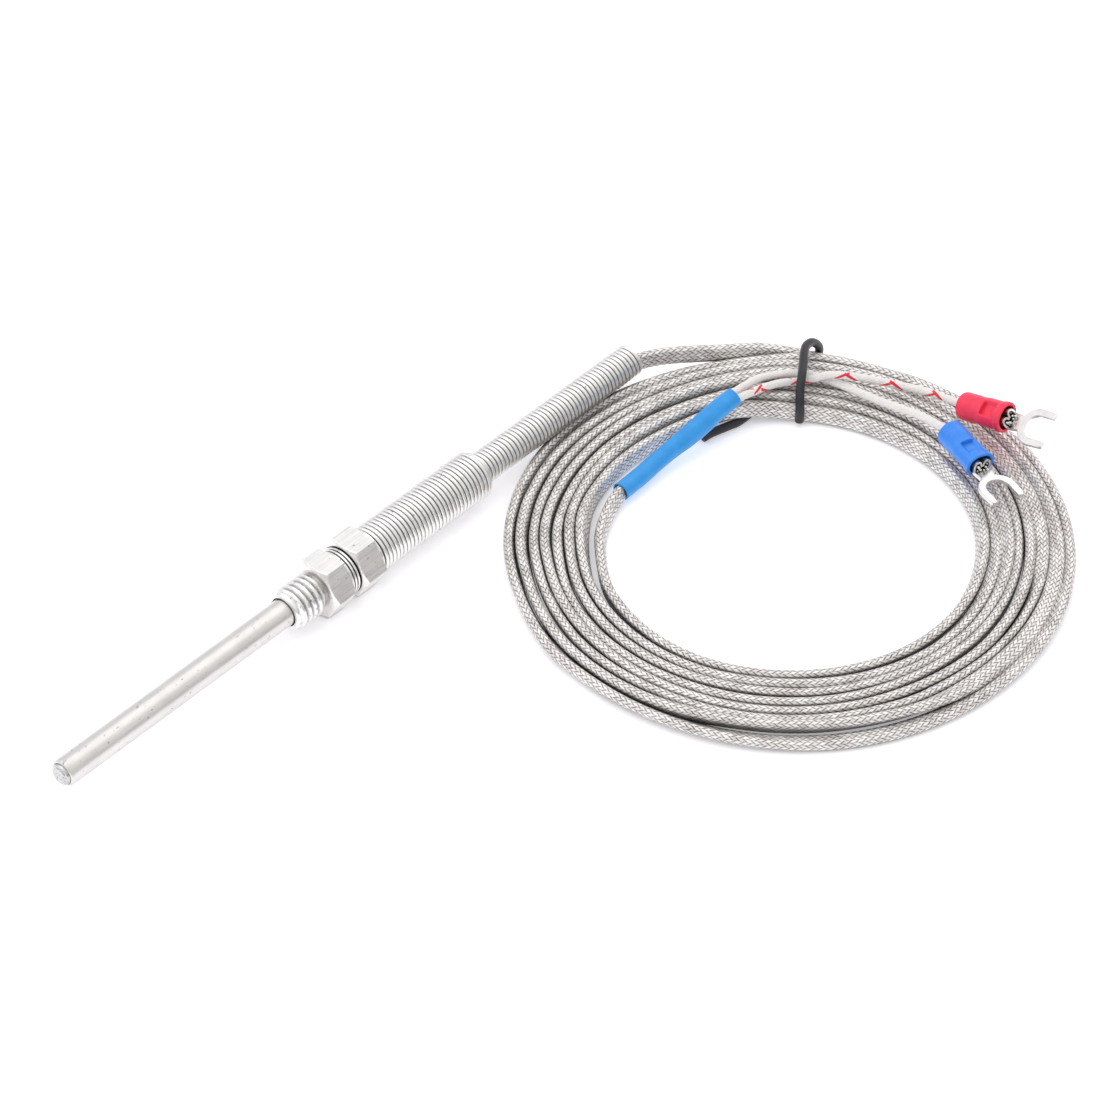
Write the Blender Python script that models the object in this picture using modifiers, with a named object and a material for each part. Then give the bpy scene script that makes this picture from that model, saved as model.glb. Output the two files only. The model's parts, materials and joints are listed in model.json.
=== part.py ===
"""Screw-in thermocouple with a stepped spring, a coiled braided lead and two fork terminals.

The probe lies along X on the ground plane, tip at -X and lead at +X. Stations are distances
from the tip along the probe. The origin is under the middle of the probe's length.
"""

import math

import bmesh
import bpy
from mathutils import Matrix, Vector

MM = 0.001

# Probe
PROBE_LENGTH = 141.0 * MM
AXIS_HEIGHT = 5.0 * MM
SHEATH_RADIUS = 2.5 * MM
SHEATH_BORE = 2.0 * MM
SHEATH_START = 0.5 * MM
SHEATH_END = 99.9 * MM
CAP_RADIUS = 1.7 * MM
CAP_DOME = 0.6 * MM
CAP_PLUG_END = 2.4 * MM

# Inside the sheath
CORE_SPREAD = 0.85 * MM
JUNCTION_SPREAD = 0.45 * MM
BEAD_STATION = 3.3 * MM
BEAD_RADIUS = 0.55 * MM
ELEMENT_RADIUS = 0.25 * MM
ELEMENT_START = 4.15 * MM
ELEMENT_STRAIGHT = 5.6 * MM
ELEMENT_END = 85.6 * MM
INSULATOR_START = 6.0 * MM
INSULATOR_LENGTH = 25.2 * MM
INSULATOR_GAP = 0.3 * MM
INSULATOR_COUNT = 3
INSULATOR_RADIUS = 1.7 * MM
INSULATOR_BORE = 0.42 * MM
SPLICE_START = 83.5 * MM
SPLICE_END = 87.5 * MM
SPLICE_RADIUS = 0.7 * MM
SPLICE_BORE = 0.45 * MM
CORE_BARE_START = 86.0 * MM
CORE_START = 87.8 * MM
CORE_END = 99.5 * MM
CORE_RADIUS = 0.6 * MM
SEAL_START = 94.0 * MM
SEAL_END = 99.6 * MM
SEAL_RADIUS = 1.85 * MM
SEAL_BORE = 0.72 * MM

# Screwed fitting: M8 x 1.25 stub, hexagon, ringed collar and M8 x 1 rear thread, then the nut
STUB_START = 53.2 * MM
HEX_START = 60.3 * MM
HEX_END = 65.3 * MM
COLLAR_END = 67.2 * MM
REAR_THREAD_END = 70.4 * MM
NUT_START = 67.5 * MM
NUT_END = 72.5 * MM
HEX_FLATS = 10.0 * MM
HEX_FACE_RADIUS = 4.9 * MM
HEX_CORNER_DROP = 0.6 * MM
STUB_CREST = 3.95 * MM
STUB_ROOT = 3.3 * MM
STUB_PITCH = 1.25 * MM
STUB_RIDGES = 5
UNDERCUT_RADIUS = 3.2 * MM
COLLAR_CREST = 4.4 * MM
COLLAR_ROOT = 4.1 * MM
COLLAR_PITCH = 0.7 * MM
COLLAR_RINGS = 2
REAR_CREST = 3.85 * MM
REAR_ROOT = 3.5 * MM
REAR_PITCH = 1.0 * MM
REAR_RIDGES = 3
FITTING_BORE = 2.8 * MM
SEAT_MOUTH = 3.2 * MM
SEAT_DEPTH = 0.8 * MM
NUT_BORE = 4.15 * MM
NUT_WALL = 0.7 * MM
FERRULE_START = 70.7 * MM
FERRULE_END = 71.5 * MM
FERRULE_NOSE = 3.2 * MM
FERRULE_RADIUS = 3.7 * MM

# Spring and its seat
SPRING_SEAT_START = 72.8 * MM
SPRING_SEAT_FLANGE = 0.5 * MM
SPRING_SEAT_END = 76.9 * MM
SPRING_SEAT_RADIUS = 4.5 * MM
SPRING_SEAT_SPIGOT = 3.2 * MM
SPRING_WIRE = 0.36 * MM
SPRING_PITCH = 0.88 * MM
SPRING_START = 74.0 * MM
SPRING_STEP = 99.6 * MM
SPRING_STEP_TURNS = 2.0
SPRING_LARGE = 4.14 * MM
SPRING_SMALL = 2.64 * MM
SPRING_TURN_POINTS = 8

# Lead: coil of the braided cable, then its two insulated cores
CABLE_RADIUS = 1.2 * MM
COIL_CENTRE = Vector((55.0, -50.0, 0.0)) * MM
COIL_INNER = 34.3 * MM
COIL_OUTER = 48.0 * MM
COIL_HEIGHT = 4.6 * MM
COIL_EDGE = 0.9 * MM
COIL_SHOULDER_INSET = 1.6 * MM
COIL_SHOULDER_HEIGHT = 3.2 * MM
COIL_WIDEST_HEIGHT = 2.0 * MM
WIRE_RADIUS = 0.6 * MM
SHRINK_RADIUS = 1.85 * MM
SHRINK_WALL = 0.3 * MM
CONDUCTOR_RADIUS = 0.45 * MM
TIE_RADIUS = 0.8 * MM

# Each route's points, in millimetres from the origin
LEAD_ROUTE = [
    (29.3, 0.0, 5.0), (40.0, 0.0, 5.0), (52.0, 0.0, 5.0), (60.0, 0.0, 4.9), (66.0, -0.1, 4.5),
    (70.4, -0.5, 4.3), (73.0, -1.6, 4.2), (75.8, -3.4, 4.1), (80.7, -7.3, 3.7),
    (85.9, -11.5, 3.2), (90.9, -15.5, 2.8),
]
TAIL_ROUTE = [
    (31.0, -28.1, 1.6), (33.0, -26.0, 1.6), (35.6, -23.9, 1.7), (39.0, -22.0, 1.9),
    (45.4, -19.7, 2.2), (50.5, -19.6, 2.3), (55.2, -19.4, 2.6), (59.6, -19.7, 3.3),
]
SHRINK_ROUTE = [
    (45.4, -19.7, 2.2), (50.5, -19.6, 2.3), (55.2, -19.4, 2.6), (59.6, -19.7, 3.3),
    (63.2, -20.3, 4.3), (66.5, -20.7, 5.4), (69.2, -21.1, 6.4), (72.9, -21.4, 7.0),
]
WHITE_ROUTE = [
    (66.75, -19.95, 5.5), (70.1, -20.4, 6.6), (73.4, -20.65, 7.0), (77.6, -20.6, 6.5),
    (81.0, -20.9, 5.9), (84.0, -22.4, 5.6), (86.6, -25.0, 5.6), (88.3, -29.0, 5.6),
    (89.4, -34.7, 5.6), (90.3, -41.2, 5.8), (90.9, -48.4, 6.8), (90.4, -55.2, 7.5),
    (89.5, -58.2, 7.5),
]
TRACER_ROUTE = [
    (66.65, -21.5, 5.4), (69.9, -21.9, 6.55), (73.1, -22.2, 6.95), (76.4, -22.5, 6.4),
    (79.6, -22.9, 5.8), (82.5, -24.1, 5.6), (84.9, -26.1, 5.6), (86.5, -28.3, 6.5),
    (88.0, -30.2, 7.4), (90.2, -32.8, 7.3), (93.1, -36.3, 6.4), (95.9, -41.0, 5.9),
    (97.5, -46.4, 6.2), (97.4, -52.8, 7.5), (97.4, -55.8, 8.4),
]
TIE_ROUTE = [
    (66.5, -20.0, 0.86), (68.2, -20.2, 0.86), (69.9, -20.65, 0.86), (72.1, -21.3, 0.86),
    (74.2, -21.8, 0.86), (79.9, -21.7, 0.86), (85.1, -21.5, 0.86), (90.3, -21.4, 0.86),
    (93.2, -21.3, 0.9), (95.1, -21.2, 1.4), (95.7, -21.4, 2.7), (95.3, -21.6, 4.3),
    (94.2, -21.7, 5.8), (92.8, -21.8, 6.9), (90.8, -22.4, 7.6), (88.8, -23.7, 7.9),
    (86.7, -25.3, 7.9), (84.5, -26.9, 7.6), (82.7, -28.1, 6.6), (81.6, -29.0, 5.0),
    (81.1, -29.5, 3.0), (80.9, -29.6, 1.0),
]
TIE_TUNNEL = Vector((84.5, -21.5, 0.0)) * MM
TIE_TUNNEL_TURN = 0.8
TIE_TUNNEL_LENGTH = 28.0 * MM
TIE_TUNNEL_WIDTH = 3.6 * MM
TIE_TUNNEL_HEIGHT = 2.0 * MM

# Fork terminals, in each terminal's own frame: x from the sleeve's rear, y across, z up
SLEEVE_LENGTH = 9.7 * MM
SLEEVE_BELL = 2.5 * MM
SLEEVE_NECK = 2.3 * MM
SLEEVE_BELL_LENGTH = 3.6 * MM
SLEEVE_BORE = 1.8 * MM
BARREL_START = 5.0 * MM
BARREL_END = 10.4 * MM
BARREL_RADIUS = 1.5 * MM
BARREL_BORE = 0.8 * MM
TONGUE_START = 10.0 * MM
FORK_END = 18.7 * MM
FORK_RADIUS = 3.5 * MM
FORK_CENTRE = 15.5 * MM
STUD_SLOT_RADIUS = 2.15 * MM
TONGUE_HALF_WIDTH = 1.6 * MM
FORK_THICKNESS = 0.8 * MM
CONDUCTOR_START = 3.9 * MM
CONDUCTOR_END = 10.3 * MM
TERMINALS = {
    "red": {"rear": (97.4, -52.8, 7.5), "toward": (0.0, -9.5, 2.8), "roll": 32.0},
    "blue": {"rear": (90.4, -55.2, 7.5), "toward": (-2.9, -9.5, -0.1), "roll": -6.0},
}

# Distances between the points of a tube, the least angle left as a sharp edge in degrees
CABLE_POINTS_APART = 5.8 * MM
WIRE_POINTS_APART = 2.6 * MM
TIE_POINTS_APART = 2.2 * MM
SHRINK_POINTS_APART = 1.6 * MM
SHARP_EDGE = 40.0
ROUND_STEPS = 32
MERGE = 1e-6


def station(distance):
    """World X of a station along the probe."""
    return distance - PROBE_LENGTH / 2


def along_probe(start, side=0.0):
    """Frame whose +Z runs along the probe from a station, set off sideways by side."""
    place = Vector((station(start), side, AXIS_HEIGHT))
    return Matrix.Translation(place) @ Matrix.Rotation(math.radians(90), 4, "Y")


def clear_scene():
    for old in list(bpy.data.objects):
        bpy.data.objects.remove(old, do_unlink=True)


def new_collection(name):
    made = bpy.data.collections.new(name)
    bpy.context.scene.collection.children.link(made)
    return made


def make_material(name, colour, roughness, metallic):
    material = bpy.data.materials.new(name)
    material.use_nodes = True
    shader = material.node_tree.nodes["Principled BSDF"]
    shader.inputs["Base Color"].default_value = (*colour, 1.0)
    shader.inputs["Roughness"].default_value = roughness
    shader.inputs["Metallic"].default_value = metallic
    return material


clear_scene()
PARTS = new_collection("thermocouple")
CUTTERS = new_collection("cutters")
MATERIALS = {
    "stainless": make_material("stainless", (0.62, 0.61, 0.60), 0.32, 1.0),
    "weld": make_material("weld", (0.50, 0.50, 0.50), 0.45, 1.0),
    "fitting": make_material("fitting", (0.68, 0.66, 0.63), 0.38, 1.0),
    "spring": make_material("spring", (0.70, 0.69, 0.67), 0.22, 1.0),
    "braid": make_material("braid", (0.52, 0.50, 0.48), 0.40, 1.0),
    "ceramic": make_material("ceramic", (0.85, 0.82, 0.74), 0.70, 0.0),
    "element": make_material("element", (0.40, 0.38, 0.36), 0.45, 1.0),
    "potting": make_material("potting", (0.12, 0.11, 0.10), 0.60, 0.0),
    "white_yarn": make_material("white_yarn", (0.86, 0.85, 0.82), 0.75, 0.0),
    "tracer_yarn": make_material("tracer_yarn", (0.82, 0.55, 0.52), 0.75, 0.0),
    "shrink": make_material("shrink", (0.045, 0.30, 0.72), 0.45, 0.0),
    "red_vinyl": make_material("red_vinyl", (0.70, 0.03, 0.06), 0.40, 0.0),
    "blue_vinyl": make_material("blue_vinyl", (0.02, 0.13, 0.70), 0.40, 0.0),
    "tin": make_material("tin", (0.75, 0.73, 0.70), 0.25, 1.0),
    "tie": make_material("tie", (0.02, 0.02, 0.025), 0.50, 0.0),
}


def finish(made, material):
    """Puts a piece in the parts' collection with its own copy of a material."""
    for holder in list(made.users_collection):
        holder.objects.unlink(made)
    PARTS.objects.link(made)
    made.data.materials.clear()
    made.data.materials.append(MATERIALS[material].copy())
    return made


def as_cutter(made):
    for holder in list(made.users_collection):
        holder.objects.unlink(made)
    CUTTERS.objects.link(made)
    made.hide_render = True
    made.display_type = "WIRE"
    return made


def mesh_object(name, build):
    """A mesh object filled by build(bmesh)."""
    shape = bmesh.new()
    build(shape)
    mesh = bpy.data.meshes.new(name)
    shape.to_mesh(mesh)
    shape.free()
    return bpy.data.objects.new(name, mesh)


def turned(name, outline, place, steps=ROUND_STEPS, ring=False):
    """A turned piece: outline is (radius, height) down its outer side, closed up if it is a ring."""
    def build(shape):
        points = [shape.verts.new((radius, 0, height)) for radius, height in outline]
        closing = [points[0]] if ring else []
        for one, two in zip(points, points[1:] + closing):
            shape.edges.new((one, two))

    made = mesh_object(name, build)
    screw = made.modifiers.new("turn", "SCREW")
    screw.axis = "Z"
    screw.angle = math.tau
    screw.steps = steps
    screw.render_steps = steps
    screw.use_merge_vertices = True
    screw.merge_threshold = MERGE
    screw.use_smooth_shade = True
    made.matrix_world = place
    return made


def cylinder(name, radius, length, place, sides):
    """A plain closed cylinder or prism from z = 0 to z = length in its own frame."""
    def build(shape):
        bmesh.ops.create_cone(
            shape, cap_ends=True, segments=sides, radius1=radius, radius2=radius, depth=length,
            matrix=Matrix.Translation((0, 0, length / 2)),
        )

    made = mesh_object(name, build)
    made.data.shade_smooth()
    made.data.set_sharp_from_angle(angle=math.radians(SHARP_EDGE))
    made.matrix_world = place
    return made


def boolean(made, other, operation):
    step = made.modifiers.new(operation.lower(), "BOOLEAN")
    step.operation = operation
    step.solver = "EXACT"
    step.object = other
    as_cutter(other)


def smooth_route(points, spacing):
    """Points about a spacing apart on a smooth curve through the route's own points."""
    route = [Vector(point) * MM for point in points]
    ends = [route[0] * 2 - route[1]] + route + [route[-1] * 2 - route[-2]]
    found = []
    for index in range(1, len(ends) - 2):
        before, here, there, after = ends[index - 1:index + 3]
        count = max(1, round((there - here).length / spacing))
        for step in range(count):
            t = step / count
            found.append(0.5 * (
                2 * here + (there - before) * t
                + (2 * before - 5 * here + 4 * there - after) * t ** 2
                + (3 * here - before - 3 * there + after) * t ** 3
            ))
    return found + [route[-1]]


def tube(name, points, radius, resolution=2, capped=True):
    """A round tube along points, as a curve object."""
    curve = bpy.data.curves.new(name, "CURVE")
    curve.dimensions = "3D"
    curve.bevel_depth = radius
    curve.bevel_resolution = resolution
    curve.use_fill_caps = capped
    spline = curve.splines.new("POLY")
    spline.points.add(len(points) - 1)
    for target, point in zip(spline.points, points):
        target.co = (*point, 1.0)
    return bpy.data.objects.new(name, curve)


def as_mesh(made, name):
    """The mesh of a curve object, with its loose caps joined up. The curve is removed."""
    bpy.context.scene.collection.objects.link(made)
    ready = made.evaluated_get(bpy.context.evaluated_depsgraph_get())
    mesh = bpy.data.meshes.new_from_object(ready)
    shape = bmesh.new()
    shape.from_mesh(mesh)
    bmesh.ops.remove_doubles(shape, verts=shape.verts, dist=MERGE)
    bmesh.ops.recalc_face_normals(shape, faces=shape.faces)
    shape.to_mesh(mesh)
    shape.free()
    place = made.matrix_world.copy()
    bpy.data.objects.remove(made, do_unlink=True)
    mesh.name = name
    kept = bpy.data.objects.new(name, mesh)
    kept.matrix_world = place
    return kept


# ---------------------------------------------------------------- probe


def sheath_tube():
    length = SHEATH_END - SHEATH_START
    outline = [(SHEATH_RADIUS, length), (SHEATH_RADIUS, 0), (SHEATH_BORE, 0), (SHEATH_BORE, length)]
    finish(turned("sheath_tube", outline, along_probe(SHEATH_START), ring=True), "stainless")


def tip_weld_cap():
    outline = [
        (0, CAP_PLUG_END), (CAP_RADIUS, CAP_PLUG_END), (CAP_RADIUS, CAP_DOME),
        (CAP_RADIUS * 0.8, CAP_DOME * 0.4), (CAP_RADIUS * 0.45, CAP_DOME * 0.1), (0, 0),
    ]
    finish(turned("tip_weld_cap", outline, along_probe(0)), "weld")


def hot_junction_bead():
    def build(shape):
        bmesh.ops.create_uvsphere(shape, u_segments=12, v_segments=8, radius=BEAD_RADIUS)

    made = mesh_object("hot_junction_bead", build)
    made.matrix_world = along_probe(BEAD_STATION)
    finish(made, "element")


def two_bore_piece(name, radius, start, length, bore, material):
    """A round piece with one bore for each conductor."""
    made = cylinder(name, radius, length, along_probe(start), 24)
    for side in (-CORE_SPREAD, CORE_SPREAD):
        drill = cylinder(f"{name}_drill", bore, length + 2 * MM, along_probe(start - MM, side), 10)
        boolean(made, drill, "DIFFERENCE")
    finish(made, material)


def thermoelement(name, side):
    """One wire of the pair, spreading from the bead to its bore in the insulators."""
    near = math.copysign(JUNCTION_SPREAD, side)
    places = [(ELEMENT_START, near), (ELEMENT_STRAIGHT, side), (ELEMENT_END, side)]
    points = [(station(distance), across, AXIS_HEIGHT) for distance, across in places]
    finish(tube(name, points, ELEMENT_RADIUS), "element")


def inside_the_sheath():
    hot_junction_bead()
    for pole, side in (("positive", CORE_SPREAD), ("negative", -CORE_SPREAD)):
        thermoelement(f"thermoelement_{pole}", side)
        length = SPLICE_END - SPLICE_START
        ring = [(SPLICE_RADIUS, length), (SPLICE_RADIUS, 0), (SPLICE_BORE, 0), (SPLICE_BORE, length)]
        splice = turned(f"crimp_splice_{pole}", ring, along_probe(SPLICE_START, side), 12, ring=True)
        finish(splice, "tin")
        bare = CORE_START - CORE_BARE_START
        end = CORE_END - CORE_BARE_START
        stepped = [
            (0, end), (CORE_RADIUS, end), (CORE_RADIUS, bare), (ELEMENT_RADIUS, bare),
            (ELEMENT_RADIUS, 0), (0, 0),
        ]
        core = turned(f"lead_core_{pole}", stepped, along_probe(CORE_BARE_START, side), 12)
        finish(core, "white_yarn")
    for index in range(INSULATOR_COUNT):
        start = INSULATOR_START + index * (INSULATOR_LENGTH + INSULATOR_GAP)
        two_bore_piece(
            f"ceramic_insulator_{index + 1}", INSULATOR_RADIUS, start, INSULATOR_LENGTH,
            INSULATOR_BORE, "ceramic",
        )
    two_bore_piece(
        "rear_seal", SEAL_RADIUS, SEAL_START, SEAL_END - SEAL_START, SEAL_BORE, "potting"
    )


# ---------------------------------------------------------------- fitting


def ridges(end, crest, root, pitch, count):
    """(radius, height) points down one side of a row of thread ridges that ends at end."""
    points = []
    for index in range(count):
        top = end - index * pitch
        points += [
            (root, top), (crest, top - 0.3 * pitch), (crest, top - 0.6 * pitch),
            (root, top - 0.9 * pitch),
        ]
    return points


def hexagon(name, start, end, chamfered_rear):
    """A hexagon prism with a flat underneath, its corners turned off in front, or at both ends."""
    length = end - start
    corner = HEX_FLATS / 2 / math.cos(math.radians(30))
    wide = corner + 0.2 * MM
    drop = HEX_CORNER_DROP
    prism = cylinder(name, corner, length, along_probe(start), 6)
    rear = [(wide, length + drop)]
    if chamfered_rear:
        rear = [(HEX_FACE_RADIUS, length), (wide, length - drop)]
    outline = [(0, rear[0][1])] + rear + [(wide, drop), (HEX_FACE_RADIUS, 0), (0, 0)]
    boolean(prism, turned(f"{name}_chamfer", outline, along_probe(start), 48), "INTERSECT")
    return prism


def bored(made, outline, start):
    """Cuts a turned bore with this (radius, height) outline out of a piece."""
    boolean(made, turned(f"{made.name}_bore", outline, along_probe(start)), "DIFFERENCE")


def gland_body():
    """M8 stub, hexagon, collar and rear thread in one piece, bored for the sheath."""
    body = hexagon("gland_body", HEX_START, HEX_END, True)
    inside = HEX_START - STUB_START + MM
    thread_end = STUB_RIDGES * STUB_PITCH
    stub = [(0, inside), (UNDERCUT_RADIUS, inside), (UNDERCUT_RADIUS, thread_end)]
    stub += ridges(thread_end, STUB_CREST, STUB_ROOT, STUB_PITCH, STUB_RIDGES)
    boolean(body, turned("gland_stub", stub + [(STUB_ROOT, 0), (0, 0)], along_probe(STUB_START)),
            "UNION")
    base = HEX_END - MM
    end = REAR_THREAD_END - base
    rear = [(0, end)] + ridges(end, REAR_CREST, REAR_ROOT, REAR_PITCH, REAR_RIDGES)
    rear += ridges(COLLAR_END - base, COLLAR_CREST, COLLAR_ROOT, COLLAR_PITCH, COLLAR_RINGS)
    boolean(body, turned("gland_rear", rear + [(COLLAR_ROOT, 0), (0, 0)], along_probe(base)),
            "UNION")
    over = 0.4 * MM
    length = REAR_THREAD_END - STUB_START + 2 * over
    flare = over * (SEAT_MOUTH - FITTING_BORE) / SEAT_DEPTH
    bored(body, [
        (0, length), (SEAT_MOUTH + flare, length), (FITTING_BORE, length - over - SEAT_DEPTH),
        (FITTING_BORE, 0), (0, 0),
    ], STUB_START - over)
    finish(body, "fitting")


def gland_nut():
    nut = hexagon("gland_nut", NUT_START, NUT_END, False)
    over = 0.5 * MM
    length = NUT_END - NUT_START + 2 * over
    shelf = NUT_WALL + over
    bored(nut, [
        (0, length), (FITTING_BORE, length), (FITTING_BORE, length - shelf),
        (NUT_BORE, length - shelf), (NUT_BORE, 0), (0, 0),
    ], NUT_START - over)
    finish(nut, "fitting")


def compression_ferrule():
    length = FERRULE_END - FERRULE_START
    outline = [
        (FERRULE_RADIUS, length), (FERRULE_RADIUS, length / 2), (FERRULE_NOSE, 0),
        (FITTING_BORE, 0), (FITTING_BORE, length),
    ]
    place = along_probe(FERRULE_START)
    finish(turned("compression_ferrule", outline, place, ring=True), "tin")


def spring_seat():
    """Flanged swivel bush that the spring's first turns grip, free to turn behind the nut."""
    length = SPRING_SEAT_END - SPRING_SEAT_START
    outline = [
        (SPRING_SEAT_SPIGOT, length), (SPRING_SEAT_SPIGOT, SPRING_SEAT_FLANGE),
        (SPRING_SEAT_RADIUS, SPRING_SEAT_FLANGE), (SPRING_SEAT_RADIUS, 0),
        (FITTING_BORE, 0), (FITTING_BORE, length),
    ]
    finish(turned("spring_seat", outline, along_probe(SPRING_SEAT_START), ring=True), "fitting")


def spring_radius(distance):
    """Mean radius of the spring at a station: large, then a short step, then small."""
    share = (distance - SPRING_STEP) / (SPRING_STEP_TURNS * SPRING_PITCH)
    share = min(1.0, max(0.0, share))
    return SPRING_LARGE + (SPRING_SMALL - SPRING_LARGE) * share


def stepped_spring():
    last = PROBE_LENGTH - SPRING_WIRE
    count = int((last - SPRING_START) / SPRING_PITCH * SPRING_TURN_POINTS)
    points = []
    for index in range(count + 1):
        distance = SPRING_START + (last - SPRING_START) * index / count
        angle = math.tau * index / SPRING_TURN_POINTS
        radius = spring_radius(distance)
        points.append((
            station(distance), radius * math.cos(angle), AXIS_HEIGHT + radius * math.sin(angle)
        ))
    finish(tube("stepped_spring", points, SPRING_WIRE, 0), "spring")


# ---------------------------------------------------------------- lead


def cable_coil():
    """The outer shape of the wound cable, with a tunnel under it for the tie."""
    edge = COIL_EDGE
    outline = [
        (COIL_OUTER - COIL_SHOULDER_INSET, COIL_HEIGHT), (COIL_OUTER - edge, COIL_SHOULDER_HEIGHT),
        (COIL_OUTER, COIL_WIDEST_HEIGHT), (COIL_OUTER, edge), (COIL_OUTER - edge, 0),
        (COIL_INNER + edge, 0), (COIL_INNER, edge), (COIL_INNER, COIL_HEIGHT - edge),
        (COIL_INNER + edge, COIL_HEIGHT),
    ]
    coil = turned("cable_coil", outline, Matrix.Translation(COIL_CENTRE), 64, ring=True)
    size = Vector((TIE_TUNNEL_LENGTH, TIE_TUNNEL_WIDTH, TIE_TUNNEL_HEIGHT * 2))

    def build(shape):
        bmesh.ops.create_cube(shape, size=1.0, matrix=Matrix.Diagonal(size.to_4d()))

    tunnel = mesh_object("tie_tunnel", build)
    turn = Matrix.Rotation(math.radians(TIE_TUNNEL_TURN), 4, "Z")
    tunnel.matrix_world = Matrix.Translation(TIE_TUNNEL) @ turn
    boolean(coil, tunnel, "DIFFERENCE")
    finish(coil, "braid")


def heat_shrink_sleeve():
    """An open tube with a wall, round the end of the braid and the start of the two cores."""
    path = smooth_route(SHRINK_ROUTE, SHRINK_POINTS_APART)
    skin = as_mesh(tube("shrink_path", path, SHRINK_RADIUS, 3, capped=False), "heat_shrink_sleeve")
    wall = skin.modifiers.new("wall", "SOLIDIFY")
    wall.thickness = SHRINK_WALL
    wall.offset = -1.0
    wall.use_even_offset = True
    finish(skin, "shrink")


def lead():
    cable_coil()
    heat_shrink_sleeve()
    for name, route, apart, radius, material in (
        ("cable_lead", LEAD_ROUTE, CABLE_POINTS_APART, CABLE_RADIUS, "braid"),
        ("cable_tail", TAIL_ROUTE, CABLE_POINTS_APART, CABLE_RADIUS, "braid"),
        ("wire_white", WHITE_ROUTE, WIRE_POINTS_APART, WIRE_RADIUS, "white_yarn"),
        ("wire_tracer", TRACER_ROUTE, WIRE_POINTS_APART, WIRE_RADIUS, "tracer_yarn"),
        ("twist_tie", TIE_ROUTE, TIE_POINTS_APART, TIE_RADIUS, "tie"),
    ):
        finish(tube(name, smooth_route(route, apart), radius), material)


# ---------------------------------------------------------------- terminals


def terminal_frame(rear, toward, roll):
    """Frame with X from the sleeve's rear to the fork, rolled about it, and Z off the fork's face."""
    forward = Vector(toward).normalized()
    across = Vector((0, 0, 1)).cross(forward).normalized()
    level = Matrix((forward, across, forward.cross(across))).transposed().to_4x4()
    turn = Matrix.Rotation(math.radians(roll), 4, "X")
    return Matrix.Translation(Vector(rear) * MM) @ level @ turn


def ahead(frame, distance):
    """A frame whose +Z runs forward along a terminal from a distance along it."""
    return frame @ Matrix.Translation((distance, 0, 0)) @ Matrix.Rotation(math.radians(90), 4, "Y")


def arc(centre, radius, start, end, count):
    """Points on an arc in the XY plane, angles in degrees."""
    found = []
    for index in range(count + 1):
        angle = math.radians(start + (end - start) * index / count)
        found.append((centre + radius * math.cos(angle), radius * math.sin(angle)))
    return found


def fork_outline():
    """The tongue, the round of the fork, its two tines and the stud slot."""
    meet = 180 - math.degrees(math.asin(TONGUE_HALF_WIDTH / FORK_RADIUS))
    outer = arc(FORK_CENTRE, FORK_RADIUS, -meet, -90, 6)
    slot = arc(FORK_CENTRE, STUD_SLOT_RADIUS, -90, -270, 10)
    half = [(TONGUE_START, -TONGUE_HALF_WIDTH)] + outer
    half += [(FORK_END, -FORK_RADIUS), (FORK_END, -STUD_SLOT_RADIUS)]
    return half + slot + [(x, -y) for x, y in reversed(half)]


def fork_lug(colour, frame):
    """Crimp barrel and fork in one piece of tinned copper."""
    outline = fork_outline()
    curve = bpy.data.curves.new("fork", "CURVE")
    curve.dimensions = "2D"
    curve.fill_mode = "BOTH"
    curve.extrude = FORK_THICKNESS / 2
    spline = curve.splines.new("POLY")
    spline.points.add(len(outline) - 1)
    spline.use_cyclic_u = True
    for target, (x, y) in zip(spline.points, outline):
        target.co = (x, y, 0, 1.0)
    lug = as_mesh(bpy.data.objects.new("fork", curve), f"fork_lug_{colour}")
    lug.matrix_world = frame @ Matrix.Translation((0, 0, FORK_THICKNESS / 2 - BARREL_RADIUS))
    length = BARREL_END - BARREL_START
    ring = [(BARREL_RADIUS, length), (BARREL_RADIUS, 0), (BARREL_BORE, 0), (BARREL_BORE, length)]
    barrel = turned("barrel", ring, ahead(frame, BARREL_START), 16, ring=True)
    boolean(lug, barrel, "UNION")
    finish(lug, "tin")


def terminal(colour, rear, toward, roll):
    frame = terminal_frame(rear, toward, roll)
    outline = [
        (SLEEVE_NECK, SLEEVE_LENGTH), (SLEEVE_NECK, SLEEVE_BELL_LENGTH + MM),
        (SLEEVE_BELL, SLEEVE_BELL_LENGTH), (SLEEVE_BELL, 0), (SLEEVE_BORE, 0),
        (SLEEVE_BORE, SLEEVE_LENGTH),
    ]
    sleeve = turned(f"terminal_sleeve_{colour}", outline, ahead(frame, 0), 24, ring=True)
    finish(sleeve, f"{colour}_vinyl")
    fork_lug(colour, frame)
    length = CONDUCTOR_END - CONDUCTOR_START
    bare = [(0, length), (CONDUCTOR_RADIUS, length), (CONDUCTOR_RADIUS, 0), (0, 0)]
    conductor = turned(f"conductor_{colour}", bare, ahead(frame, CONDUCTOR_START), 8)
    finish(conductor, "tin")


sheath_tube()
tip_weld_cap()
inside_the_sheath()
gland_body()
gland_nut()
compression_ferrule()
spring_seat()
stepped_spring()
lead()
for colour, placing in TERMINALS.items():
    terminal(colour, **placing)
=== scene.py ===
"""Looks of the screw-in thermocouple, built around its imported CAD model. Lengths are in millimetres
until they reach a mesh, and stations are distances from the tip along the probe."""

import json
import math

import bmesh
import bpy
import numpy as np
from mathutils import Matrix, Vector

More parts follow.
